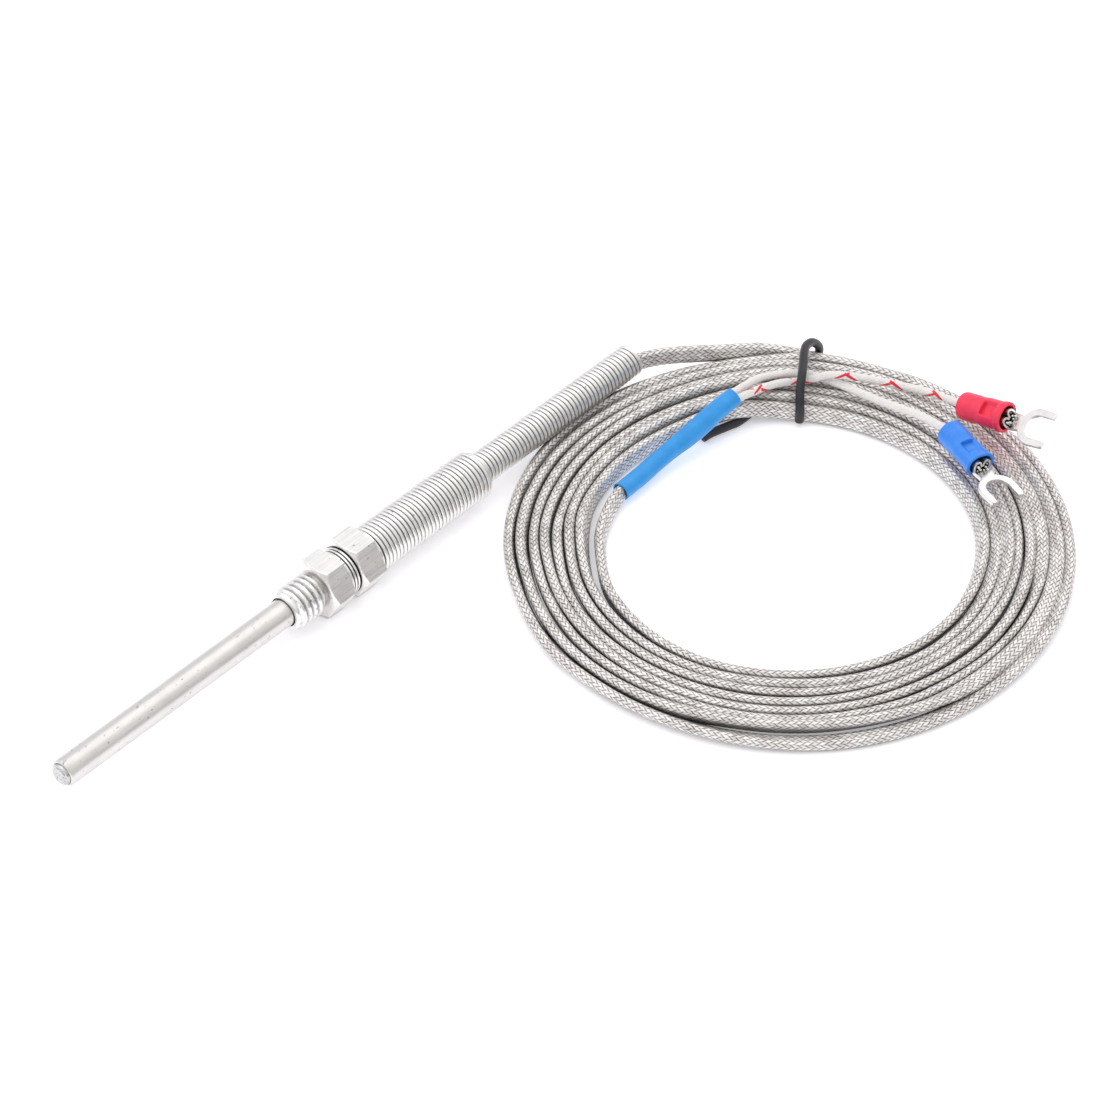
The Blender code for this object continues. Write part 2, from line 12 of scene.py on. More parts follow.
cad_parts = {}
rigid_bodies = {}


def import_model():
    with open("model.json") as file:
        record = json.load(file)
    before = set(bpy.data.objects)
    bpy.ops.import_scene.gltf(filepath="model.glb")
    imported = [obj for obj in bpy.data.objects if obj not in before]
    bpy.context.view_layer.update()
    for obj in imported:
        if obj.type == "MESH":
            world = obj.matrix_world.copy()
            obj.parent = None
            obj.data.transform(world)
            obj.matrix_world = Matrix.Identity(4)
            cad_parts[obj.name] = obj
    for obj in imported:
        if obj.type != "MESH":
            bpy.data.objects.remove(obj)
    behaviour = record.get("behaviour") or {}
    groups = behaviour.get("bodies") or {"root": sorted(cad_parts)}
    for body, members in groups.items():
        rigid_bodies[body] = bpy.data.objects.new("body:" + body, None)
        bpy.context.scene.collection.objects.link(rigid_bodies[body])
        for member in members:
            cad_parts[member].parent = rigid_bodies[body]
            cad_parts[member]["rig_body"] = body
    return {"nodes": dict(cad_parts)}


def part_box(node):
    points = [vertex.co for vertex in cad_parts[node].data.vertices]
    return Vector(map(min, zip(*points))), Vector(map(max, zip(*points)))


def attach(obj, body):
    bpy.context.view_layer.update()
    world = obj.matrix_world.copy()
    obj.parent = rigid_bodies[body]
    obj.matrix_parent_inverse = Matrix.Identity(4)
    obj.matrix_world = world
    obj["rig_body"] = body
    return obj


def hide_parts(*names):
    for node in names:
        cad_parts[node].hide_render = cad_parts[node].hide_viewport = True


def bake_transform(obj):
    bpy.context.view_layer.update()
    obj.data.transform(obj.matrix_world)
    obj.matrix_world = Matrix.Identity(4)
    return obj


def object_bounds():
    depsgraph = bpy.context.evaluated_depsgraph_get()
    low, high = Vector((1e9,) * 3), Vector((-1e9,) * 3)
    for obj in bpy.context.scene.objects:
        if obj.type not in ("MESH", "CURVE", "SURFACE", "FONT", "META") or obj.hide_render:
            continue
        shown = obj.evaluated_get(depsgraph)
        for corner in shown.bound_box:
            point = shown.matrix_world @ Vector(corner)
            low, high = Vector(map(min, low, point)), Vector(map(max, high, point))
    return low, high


MM = 0.001
TAU = math.tau

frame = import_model()
NODES = frame["nodes"]
CAD_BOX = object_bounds()


def box_mm(node):
    """Lowest and highest corner of a CAD node, in millimetres."""
    low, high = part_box(node)
    return np.array(low) / MM, np.array(high) / MM


PROBE_LOW, _ = box_mm("tip_weld_cap")
TIP_X = PROBE_LOW[0]
AXIS_Z = (box_mm("sheath_tube")[0][2] + box_mm("sheath_tube")[1][2]) / 2
SPRING_LOW, SPRING_HIGH = box_mm("stepped_spring")
GLAND_LOW, GLAND_HIGH = box_mm("gland_body")
NUT_LOW, NUT_HIGH = box_mm("gland_nut")
SEAT_LOW, SEAT_HIGH = box_mm("spring_seat")
COIL_LOW, COIL_HIGH = box_mm("cable_coil")
COIL_CENTRE = (COIL_LOW + COIL_HIGH) / 2

# Camera
AZIMUTH = -47.83
ELEVATION = 42.5
DISTANCE = 1.150
TARGET = (0.02811, -0.01903, 0.0)
LENS = 221.12
SENSOR = 36.0

# Braided duplex cable, an oval with two round sides
CABLE_WIDE = 3.1
CABLE_THIN = 1.8
SIDE_RADIUS = CABLE_THIN / 2
SIDE_OFFSET = (CABLE_WIDE - CABLE_THIN) / 2
# Braid: pairs of strand columns round the cable, then each strand's pitch, slant and height
BRAID_COLUMNS = 8
BRAID_PITCH = 1.25
BRAID_SLANT = 0.60
BRAID_RELIEF = 0.05
CABLE_RINGS = 0.3
CABLE_AROUND = 32
LEAD_TILT = math.radians(75)
TAIL_TILT = math.radians(60)
# Heat-shrink sleeve: shares of its length, and its outer radius there
SHRINK_PLACES = [0.0, 0.42, 0.60, 0.74, 0.86, 1.0]
SHRINK_RADII = [1.62, 1.60, 1.82, 1.86, 1.72, 1.70]
SLEEVE_WALL_SHARE = 0.84
# The cable narrows to this share between these distances from its end
SHRUNK_SHARE = 0.80
SHRUNK_SPAN = [13.0, 16.5]
CORE_RADIUS = 0.68
YARN_STRANDS = 8
YARN_SLOPE = 7.0
TIE_RADIUS = 0.78
TURN_SLICES = 96
TURN_ANGLE = 360 / TURN_SLICES
# How far the tie lifts the coil, and how far from the tie that is felt
TIE_LIFT = 1.7
TIE_REACH = 4.0
# Settling of the coil: rounds, sag a round, pull back to the lanes, and the push between turns
SETTLE_ROUNDS = 420
SETTLE_SAG = 0.02
SETTLE_PULL = 0.03
SETTLE_LIFT = 0.02
SETTLE_SMOOTHING = 0.3
SETTLE_GAP = 0.03
SETTLE_PUSH = 0.32
SETTLE_ROLL = 0.6
# The fitting's stations behind the front of the stub, and its bores
STUB_END = 7.1
HEXAGON_END = 12.1
COLLAR_END = 14.0
STUB_BORE = 2.72
HEXAGON_BORE = 2.75
NECK_BORE = 2.8
AROUND_ROUND = 96
AROUND_HEXAGON = 144
SLEEVE_AROUND = 128

# Routes shared with the CAD source
LEAD_ROUTE = [
    (29.3, 0.0, 5.0), (40.0, 0.0, 5.0), (52.0, 0.0, 5.0), (60.0, 0.0, 4.9), (66.0, -0.1, 4.5),
    (70.4, -0.5, 4.3), (73.0, -1.6, 4.2), (75.8, -3.4, 4.1), (80.7, -7.3, 3.7),
    (85.9, -11.5, 3.2), (90.9, -15.5, 2.8),
]
TAIL_ROUTE = [
    (31.0, -28.1, 1.6), (33.0, -26.0, 1.6), (35.6, -23.9, 1.7), (39.0, -22.0, 1.9),
    (45.4, -19.7, 2.2), (50.5, -19.6, 2.3), (55.2, -19.4, 2.6), (59.6, -19.7, 3.3),
]
SHRINK_ROUTE = [
    (45.4, -19.7, 2.2), (50.5, -19.6, 2.3), (55.2, -19.4, 2.6), (59.6, -19.7, 3.3),
    (63.2, -20.3, 4.3), (66.5, -20.7, 5.4), (69.2, -21.1, 6.4), (72.9, -21.4, 7.0),
]
WHITE_ROUTE = [
    (66.75, -19.95, 5.5), (70.1, -20.4, 6.6), (73.4, -20.65, 7.0), (77.6, -20.6, 6.5),
    (81.0, -20.9, 5.9), (84.0, -22.4, 5.6), (86.6, -25.0, 5.6), (88.3, -29.0, 5.6),
    (89.4, -34.7, 5.6), (90.3, -41.2, 5.8), (90.9, -48.4, 6.8), (90.4, -55.2, 7.5),
    (89.5, -58.2, 7.5),
]
TRACER_ROUTE = [
    (66.65, -21.5, 5.4), (69.9, -21.9, 6.55), (73.1, -22.2, 6.95), (76.4, -22.5, 6.4),
    (79.6, -22.9, 5.8), (82.5, -24.1, 5.6), (84.9, -26.1, 5.6), (86.5, -28.3, 6.5),
    (88.0, -30.2, 7.4), (90.2, -32.8, 7.3), (93.1, -36.3, 6.4), (95.9, -41.0, 5.9),
    (97.5, -46.4, 6.2), (97.4, -52.8, 7.5), (97.4, -55.8, 8.4),
]
TIE_ROUTE = [
    (66.5, -20.0, 0.86), (68.2, -20.2, 0.86), (69.9, -20.65, 0.86), (72.1, -21.3, 0.86),
    (74.2, -21.8, 0.86), (79.9, -21.7, 0.86), (85.1, -21.5, 0.86), (90.3, -21.4, 0.86),
    (93.2, -21.3, 0.9), (95.1, -21.2, 1.4), (95.7, -21.4, 2.7), (95.3, -21.6, 4.3),
    (94.2, -21.7, 5.8), (92.8, -21.8, 6.9), (90.8, -22.4, 7.6), (88.8, -23.7, 7.9),
    (86.7, -25.3, 7.9), (84.5, -26.9, 7.6), (82.7, -28.1, 6.6), (81.6, -29.0, 5.0),
    (81.1, -29.5, 3.0), (80.9, -29.6, 1.0),
]
TERMINALS = {
    "red": {"rear": (97.4, -52.8, 7.5), "toward": (0.0, -9.5, 2.8), "roll": 32.0},
    "blue": {"rear": (90.4, -55.2, 7.5), "toward": (-2.9, -9.5, -0.1), "roll": -6.0},
}

# Lanes of the coil's turns from the outermost inwards, as (radius, height, tilt in degrees), at
# seven angles round the bundle
TURNS = 8
LANES = {
    45: [(47.5, 3.0, 66), (45.2, 4.2, 50), (43.2, 2.8, 46), (41.6, 4.6, 36), (39.4, 2.8, 50),
         (37.2, 3.8, 55), (35.0, 2.4, 62), (33.4, 1.9, 80)],
    -48: [(46.8, 1.5, 80), (45.2, 2.5, 76), (42.2, 1.4, 84), (40.2, 3.2, 74), (38.2, 1.5, 88),
          (36.6, 3.0, 80), (34.0, 1.5, 86), (32.2, 2.6, 80)],
    -95: [(47.0, 1.5, 30), (45.3, 2.3, 30), (42.4, 1.4, 40), (40.6, 3.0, 45), (38.2, 1.3, 60),
          (36.2, 2.6, 40), (34.6, 1.4, 55), (32.2, 2.6, 70)],
    -138: [(47.0, 1.5, -36), (44.6, 2.4, -40), (42.6, 1.2, 10), (41.0, 1.8, 55), (38.8, 1.3, 60),
           (36.6, 0.9, 0), (35.9, 3.2, -30), (32.6, 1.6, 70)],
    -185: [(48.0, 1.5, 62), (45.8, 2.6, 70), (43.6, 1.5, 80), (41.4, 2.6, 76), (39.4, 1.5, 84),
           (37.4, 2.6, 76), (35.4, 1.5, 66), (33.0, 2.0, 80)],
    -230: [(47.9, 1.6, 78), (45.8, 2.4, 84), (43.7, 1.6, 86), (41.8, 2.4, 84), (39.9, 1.6, 90),
           (37.9, 2.4, 86), (36.0, 1.6, 90), (33.4, 1.6, 85)],
    -280: [(47.8, 1.6, 66), (45.8, 2.6, 66), (43.5, 1.7, 70), (41.4, 2.7, 68), (39.2, 1.7, 76),
           (37.2, 2.6, 72), (35.2, 1.6, 84), (33.0, 1.6, 84)],
}
LANE_START = 35.0
COIL_END = 134.5 - TURNS * 360


def smooth_route(points, spacing):
    """Points about a spacing apart on a smooth curve through the route's own points."""
    route = np.array(points, float)
    ends = np.vstack([route[0] * 2 - route[1], route, route[-1] * 2 - route[-2]])
    found = []
    for before, here, there, after in zip(ends, ends[1:], ends[2:], ends[3:]):
        count = max(1, round(np.linalg.norm(there - here) / spacing))
        for t in np.arange(count) / count:
            found.append(0.5 * (
                2 * here + (there - before) * t
                + (2 * before - 5 * here + 4 * there - after) * t ** 2
                + (3 * here - before - 3 * there + after) * t ** 3
            ))
    return np.array(found + [route[-1]])


def arc_lengths(line):
    steps = np.linalg.norm(np.diff(line, axis=0), axis=1)
    return np.concatenate([[0], np.cumsum(steps)])


def evenly(line, spacing, *others):
    """A line, and values along it, taken again at an even spacing."""
    where = arc_lengths(line)
    count = max(2, int(round(where[-1] / spacing)) + 1)
    wanted = np.linspace(0, where[-1], count)
    found = [np.stack([np.interp(wanted, where, column) for column in line.T], 1)]
    found += [np.interp(wanted, where, values) for values in others]
    return found[0] if not others else found


def directions(line):
    along = np.gradient(line, axis=0)
    return along / np.linalg.norm(along, axis=1)[:, None]


# ---------------------------------------------------------------- meshes


def mesh_piece(name, points, faces, body="probe", uv=None):
    """A mesh of points in millimetres that rides on a CAD body."""
    mesh = bpy.data.meshes.new(name)
    mesh.from_pydata((np.asarray(points) * MM).tolist(), [], faces)
    if uv is not None:
        layer = mesh.uv_layers.new(name="along")
        layer.data.foreach_set("uv", np.asarray(uv, np.float32).ravel())
    piece = bpy.data.objects.new(name, mesh)
    bpy.context.scene.collection.objects.link(piece)
    mesh.shade_smooth()
    if body:
        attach(piece, body)
    return piece


def grid_faces(rings, around):
    """Quads over rings of points, joined around."""
    one = np.arange(rings - 1)[:, None] * around + np.arange(around)[None, :]
    two = np.arange(rings - 1)[:, None] * around + (np.arange(around)[None, :] + 1) % around
    return np.stack([one, one + around, two + around, two], -1).reshape(-1, 4)


def grid_uv(along, around):
    """UV of grid_faces' corners: millimetres along, share of the way round."""
    count = len(along)
    u0 = np.repeat(along[:-1, None], around, 1)
    u1 = np.repeat(along[1:, None], around, 1)
    v0 = np.repeat(np.arange(around)[None, :] / around, count - 1, 0)
    v1 = v0 + 1 / around
    corners = [np.stack(pair, -1) for pair in ((u0, v0), (u1, v0), (u1, v1), (u0, v1))]
    return np.stack(corners, 2).reshape(-1, 2)


def swept(name, line, wide, thin, section, body="probe", relief=None):
    """Sweeps a closed section, points (share of wide, share of thin), along a line."""
    rings, around = len(line), len(section)
    where = arc_lengths(line)
    offset = section[None, :, 0:1] * wide[:, None, :] + section[None, :, 1:2] * thin[:, None, :]
    if relief is not None:
        outward = offset / np.linalg.norm(offset, axis=2)[:, :, None]
        height = relief(where[:, None], np.arange(around)[None, :] / around)
        offset = offset + outward * height[..., None]
    points = (line[:, None, :] + offset).reshape(-1, 3)
    faces = grid_faces(rings, around).tolist()
    faces.append(list(range(around)))
    faces.append(list(range(len(points) - 1, len(points) - around - 1, -1)))
    ends = [(where[0], k / around) for k in range(around)]
    ends += [(where[-1], k / around) for k in range(around - 1, -1, -1)]
    return mesh_piece(name, points, faces, body, np.vstack([grid_uv(where, around), ends]))


def circle(radius, count):
    angles = np.arange(count) / count * TAU
    return np.stack([radius * np.cos(angles), radius * np.sin(angles)], 1)


def cross_axes(line):
    """The level direction across a line, and the one square to it, at each point."""
    along = directions(line)
    side = np.cross(along, (0, 0, 1.0))
    side /= np.linalg.norm(side, axis=1)[:, None]
    return side, np.cross(side, along)


def tube(name, line, radius, count, relief=None):
    """A round tube along a line."""
    side, over = cross_axes(line)
    return swept(name, line, side, over, circle(radius, count), relief=relief)


# ---------------------------------------------------------------- the cable's lie


def lane_targets(angles):
    """Each slice's wanted radius, height and tilt, between the lanes' angles."""
    keys = sorted(LANES, reverse=True)
    places = []
    values = []
    for turn in range(TURNS):
        for key in keys:
            places.append(LANE_START - (LANE_START - key) % 360 - 360 * turn)
            values.append(LANES[key][turn])
    order = np.argsort(-np.array(places))
    places = np.array(places)[order]
    values = np.array(values, float)[order]
    return np.stack([np.interp(-angles, -places, values[:, k]) for k in range(3)], 1)


def smoothed(values, share, rounds=1):
    out = values.copy()
    for _ in range(rounds):
        middle = (out[:-2] + out[2:]) / 2
        out[1:-1] += share * (middle - out[1:-1])
    return out


def tie_lift(x, y):
    """How far the tie under the coil lifts a turn that lies across it."""
    one, two = np.array(TIE_ROUTE[3][:2]), np.array(TIE_ROUTE[8][:2])
    along = (two - one) / np.linalg.norm(two - one)
    off = (x - one[0]) * -along[1] + (y - one[1]) * along[0]
    return TIE_LIFT * np.exp(-(off / TIE_REACH) ** 2)


def settle_coil():
    """The coil's turns laid beside and over each other: angle, radius, height and tilt."""
    count = int(round((LANE_START - COIL_END) / TURN_ANGLE)) + 1
    angles = LANE_START - TURN_ANGLE * np.arange(count)
    wanted = lane_targets(angles)
    for k in range(3):
        wanted[:, k] = smoothed(wanted[:, k], 0.5, 60)
    wave = np.radians(angles)
    wanted[:, 0] += 0.22 * np.sin(wave * 2.37) + 0.16 * np.sin(wave * 5.21 + 1.0)
    wanted[:, 1] += 0.3 * np.sin(wave * 3.13 + 2.0)
    wanted[:, 2] += 8 * np.sin(wave * 1.71 + 0.5)
    radius, height, tilt = wanted[:, 0].copy(), wanted[:, 1].copy(), np.radians(wanted[:, 2])
    aim = tilt.copy()
    turn = np.radians(angles)
    inner = slice(2, count - 2)
    for _ in range(SETTLE_ROUNDS):
        height[inner] -= SETTLE_SAG
        radius[inner] += SETTLE_PULL * (wanted[inner, 0] - radius[inner])
        height[inner] += SETTLE_LIFT * (wanted[inner, 1] - height[inner])
        tilt[inner] += SETTLE_PULL * (aim[inner] - tilt[inner])
        radius = smoothed(radius, SETTLE_SMOOTHING)
        height = smoothed(height, SETTLE_SMOOTHING)
        tilt = smoothed(tilt, SETTLE_SMOOTHING)
        push = np.zeros((count, 3))
        for gap in range(TURN_SLICES, count, TURN_SLICES):
            a, b = slice(0, count - gap), slice(gap, count)
            for one in (-1, 1):
                for two in (-1, 1):
                    ax = radius[a] + one * SIDE_OFFSET * np.cos(tilt[a])
                    az = height[a] + one * SIDE_OFFSET * np.sin(tilt[a])
                    bx = radius[b] + two * SIDE_OFFSET * np.cos(tilt[b])
                    bz = height[b] + two * SIDE_OFFSET * np.sin(tilt[b])
                    dx, dz = ax - bx, az - bz
                    apart = np.hypot(dx, dz) + 1e-6
                    short = np.clip(2 * SIDE_RADIUS + SETTLE_GAP - apart, 0, 1) * SETTLE_PUSH
                    px, pz = dx / apart * short, dz / apart * short
                    push[a, 0] += px
                    push[a, 1] += pz
                    push[b, 0] -= px
                    push[b, 1] -= pz
                    roll_a = np.cos(tilt[a]) * pz - np.sin(tilt[a]) * px
                    roll_b = np.cos(tilt[b]) * pz - np.sin(tilt[b]) * px
                    push[a, 2] += one * roll_a * SETTLE_ROLL
                    push[b, 2] -= two * roll_b * SETTLE_ROLL
        radius[inner] += push[inner, 0]
        height[inner] += push[inner, 1]
        tilt[inner] += push[inner, 2]
        floor = SIDE_RADIUS + tie_lift(
            COIL_CENTRE[0] + radius * np.cos(turn), COIL_CENTRE[1] + radius * np.sin(turn)
        )
        for one in (-1, 1):
            low = height + one * SIDE_OFFSET * np.sin(tilt)
            rise = np.clip(floor - low, 0, 1) * 0.7
            height[inner] += rise[inner]
            tilt[inner] += (one * np.cos(tilt) * rise * 0.5)[inner]
    return angles, radius, height, tilt


def cable_line():
    """The whole cable's centreline and its tilt, from the spring to inside the heat-shrink."""
    angles, radius, height, tilt = settle_coil()
    turn = np.radians(angles)
    coil = np.stack([
        COIL_CENTRE[0] + radius * np.cos(turn), COIL_CENTRE[1] + radius * np.sin(turn), height
    ], 1)
    lead = smooth_route(LEAD_ROUTE, 2.0)
    tail = smooth_route(TAIL_ROUTE, 2.0)
    line = np.vstack([lead, coil[3:-3], tail])
    lead_tilt = np.interp(np.arange(len(lead)), [0, len(lead) - 1], [LEAD_TILT, tilt[3]])
    tail_tilt = np.interp(np.arange(len(tail)), [0, len(tail) - 1], [tilt[-4], TAIL_TILT])
    tilts = np.concatenate([lead_tilt, tilt[3:-3], tail_tilt])
    for k in range(3):
        line[:, k] = smoothed(line[:, k], 0.5, 2)
    line = smooth_route(line, 0.5)
    tilts = np.interp(np.linspace(0, 1, len(line)), np.linspace(0, 1, len(tilts)), tilts)
    line, tilts = evenly(line, CABLE_RINGS, tilts)
    lowest = SIDE_RADIUS + SIDE_OFFSET * np.abs(np.sin(tilts)) + BRAID_RELIEF
    line[:, 2] = np.maximum(line[:, 2], lowest)
    return line, tilts


def stadium(count):
    """The oval section as offsets (along its width, across it)."""
    straight, round_side = 4 * SIDE_OFFSET, TAU * SIDE_RADIUS
    total = straight + round_side
    found = []
    for k in range(count):
        d = k / count * total
        if d < round_side / 2:
            a = d / SIDE_RADIUS - TAU / 4
            found.append((SIDE_OFFSET + SIDE_RADIUS * math.cos(a), SIDE_RADIUS * math.sin(a)))
        elif d < round_side / 2 + straight / 2:
            found.append((SIDE_OFFSET - (d - round_side / 2), SIDE_RADIUS))
        elif d < round_side + straight / 2:
            a = (d - straight / 2) / SIDE_RADIUS - TAU / 4
            found.append((-SIDE_OFFSET + SIDE_RADIUS * math.cos(a), SIDE_RADIUS * math.sin(a)))
        else:
            found.append((d - round_side - straight / 2 - SIDE_OFFSET, -SIDE_RADIUS))
    return np.array(found)


def braid_relief(along, around):
    """Height of the braid's strands above the oval."""
    column = around * BRAID_COLUMNS * 2
    within = column % 1
    left = (np.floor(column) % 2) == 0
    across = np.where(left, within, 1 - within)
    phase = along / BRAID_PITCH + across * BRAID_SLANT + np.where(left, 0, 0.5)
    ribbon = np.abs(np.sin(np.pi * phase)) ** 0.7
    return BRAID_RELIEF * (ribbon * (0.45 + 0.55 * np.sin(np.pi * within)) - 0.6)


def braided_cable():
    line, tilt = cable_line()
    along = directions(line)
    out = np.stack([-along[:, 1], along[:, 0], np.zeros(len(along))], 1)
    out /= np.linalg.norm(out, axis=1)[:, None]
    up = np.cross(along, out) * np.sign(np.cross(along, out)[:, 2:3])
    wide = np.cos(tilt)[:, None] * out + np.sin(tilt)[:, None] * up
    thin = np.cos(tilt)[:, None] * up - np.sin(tilt)[:, None] * out
    from_end = CABLE_RINGS * np.arange(len(line))[::-1]
    wide = wide * np.interp(from_end, SHRUNK_SPAN, [SHRUNK_SHARE, 1.0])[:, None]
    cable = swept("braided_cable", line, wide, thin, stadium(CABLE_AROUND), relief=braid_relief)
    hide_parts("cable_lead", "cable_coil", "cable_tail")
    return cable, line


# ---------------------------------------------------------------- stage


def view_vectors():
    azimuth, elevation = math.radians(AZIMUTH), math.radians(ELEVATION)
    ahead = Vector((-math.sin(azimuth), math.cos(azimuth), 0))
    return ahead * math.cos(elevation) - Vector((0, 0, 1)) * math.sin(elevation)


def camera():
    data = bpy.data.cameras.new("camera")
    data.lens = LENS
    data.sensor_width = SENSOR
    data.clip_start = 0.05
    data.clip_end = 20
    eye = bpy.data.objects.new("camera", data)
    look = view_vectors()
    eye.location = Vector(TARGET) - look * DISTANCE
    eye.rotation_euler = look.to_track_quat("-Z", "Y").to_euler()
    bpy.context.scene.collection.objects.link(eye)
    bpy.context.scene.camera = eye


class Nodes:
    """Short ways to wire up one material's or the world's nodes."""

    def __init__(self, tree):
        self.tree = tree

    def new(self, kind, **settings):
        node = self.tree.nodes.new(kind)
        for key, value in settings.items():
            setattr(node, key, value)
        return node

    def feed(self, socket, value):
        if isinstance(value, bpy.types.NodeSocket):
            self.tree.links.new(value, socket)
        else:
            socket.default_value = value

    def math(self, operation, one, two=0.0, three=0.0):
        node = self.new("ShaderNodeMath", operation=operation)
        self.feed(node.inputs[0], one)
        self.feed(node.inputs[1], two)
        self.feed(node.inputs[2], three)
        return node.outputs[0]

    def ramp(self, value, *stops):
        """Smooth change over stops (place, brightness or colour)."""
        node = self.new("ShaderNodeValToRGB")
        while len(node.color_ramp.elements) < len(stops):
            node.color_ramp.elements.new(1.0)
        for element, (place, colour) in zip(node.color_ramp.elements, stops):
            element.position = place
            rgb = (colour,) * 3 if isinstance(colour, (int, float)) else colour
            element.color = (*rgb, 1.0)
        self.feed(node.inputs[0], value)
        return node.outputs[0]

    def mix(self, share, one, two):
        node = self.new("ShaderNodeMix", data_type="RGBA")
        self.feed(node.inputs[0], share)
        for socket, value in ((node.inputs[6], one), (node.inputs[7], two)):
            if not isinstance(value, bpy.types.NodeSocket):
                value = (*value, 1.0)
            self.feed(socket, value)
        return node.outputs[2]

    def place(self, scale=(1, 1, 1)):
        """The piece's own coordinates in millimetres, stretched by scale."""
        source = self.new("ShaderNodeTexCoord").outputs["Object"]
        node = self.new("ShaderNodeMapping")
        node.inputs["Scale"].default_value = [1000 * value for value in scale]
        self.feed(node.inputs["Vector"], source)
        return node.outputs[0]

    def noise(self, scale, where, detail=3.0, roughness=0.5):
        node = self.new("ShaderNodeTexNoise")
        self.feed(node.inputs["Vector"], where)
        node.inputs["Scale"].default_value = scale
        node.inputs["Detail"].default_value = detail
        node.inputs["Roughness"].default_value = roughness
        return node.outputs[0]

    # Painted shade: an ambient-occlusion ramp that darkens colour where other surfaces close in
    def hollow_shade(self, reach, *stops):
        """A ramp of painted shade, from the pits and gaps within reach millimetres up to open surfaces.
        """
        node = self.new("ShaderNodeAmbientOcclusion", samples=6)
        node.inputs["Distance"].default_value = reach * MM
        return self.ramp(node.outputs["AO"], *stops)

    def uv(self):
        split = self.new("ShaderNodeSeparateXYZ")
        self.feed(split.inputs[0], self.new("ShaderNodeUVMap", uv_map="along").outputs[0])
        return split.outputs[0], split.outputs[1]

    def bump(self, height, strength, distance=0.0001):
        node = self.new("ShaderNodeBump")
        node.inputs["Strength"].default_value = strength
        node.inputs["Distance"].default_value = distance
        self.feed(node.inputs["Height"], height)
        return node.outputs[0]


def material(name):
    """A new material, its nodes and its Principled shader."""
    made = bpy.data.materials.new(name)
    made.use_nodes = True
    return made, Nodes(made.node_tree), made.node_tree.nodes["Principled BSDF"].inputs


def paint(piece, made):
    piece.data.materials.clear()
    piece.data.materials.append(made)


def studio():
    scene = bpy.context.scene
    scene.view_settings.view_transform = "Standard"
    world = bpy.data.worlds.new("studio")
    scene.world = world
    world.use_nodes = True
    n = Nodes(world.node_tree)
    split = n.new("ShaderNodeSeparateXYZ")
    n.feed(split.inputs[0], n.new("ShaderNodeTexCoord").outputs["Generated"])
    rise = n.ramp(split.outputs[2], (0.0, 0.0), (0.07, 0.06), (0.14, 0.62), (0.32, 0.86), (0.7, 1.0))
    facing = n.math("MULTIPLY_ADD", split.outputs[1], -0.8, 0.35)
    facing = n.ramp(facing, (0.0, 0.0), (0.6, 1.0))
    sky = n.mix(facing, (0.92, 0.92, 0.95), rise)
    seen = n.new("ShaderNodeLightPath").outputs["Is Camera Ray"]
    ground = world.node_tree.nodes["Background"].inputs
    n.feed(ground["Color"], n.mix(seen, sky, (1.0, 1.0, 1.0)))
    ground["Strength"].default_value = 0.95
    floor_mesh = bpy.data.meshes.new("floor")
    size = 3.0
    floor_mesh.from_pydata(
        [(-size, -size, 0), (size, -size, 0), (size, size, 0), (-size, size, 0)], [], [(0, 1, 2, 3)]
    )
    floor = bpy.data.objects.new("floor", floor_mesh)
    floor.location.z = min(0.0, CAD_BOX[0][2]) - 0.00005
    scene.collection.objects.link(floor)
    made, n, shader = material("floor_white")
    shader["Base Color"].default_value = (0.90, 0.895, 0.925, 1)
    shader["Emission Color"].default_value = (1.0, 0.985, 1.0, 1)
    shader["Emission Strength"].default_value = 0.34
    shader["Roughness"].default_value = 0.9
    shader["Specular IOR Level"].default_value = 0.1
    paint(floor, made)
    for name, place, size, power in (
        ("key", (-0.5, 0.5, 1.3), 1.6, 6.0), ("fill", (0.9, 0.1, 1.0), 1.2, 3.0),
    ):
        light = bpy.data.lights.new(name, "AREA")
        light.size = size
        light.energy = power
        lamp = bpy.data.objects.new(name, light)
        lamp.location = place
        aim = Vector((0.03, -0.02, 0)) - Vector(place)
        lamp.rotation_euler = aim.to_track_quat("-Z", "Y").to_euler()
        scene.collection.objects.link(lamp)


# ---------------------------------------------------------------- materials


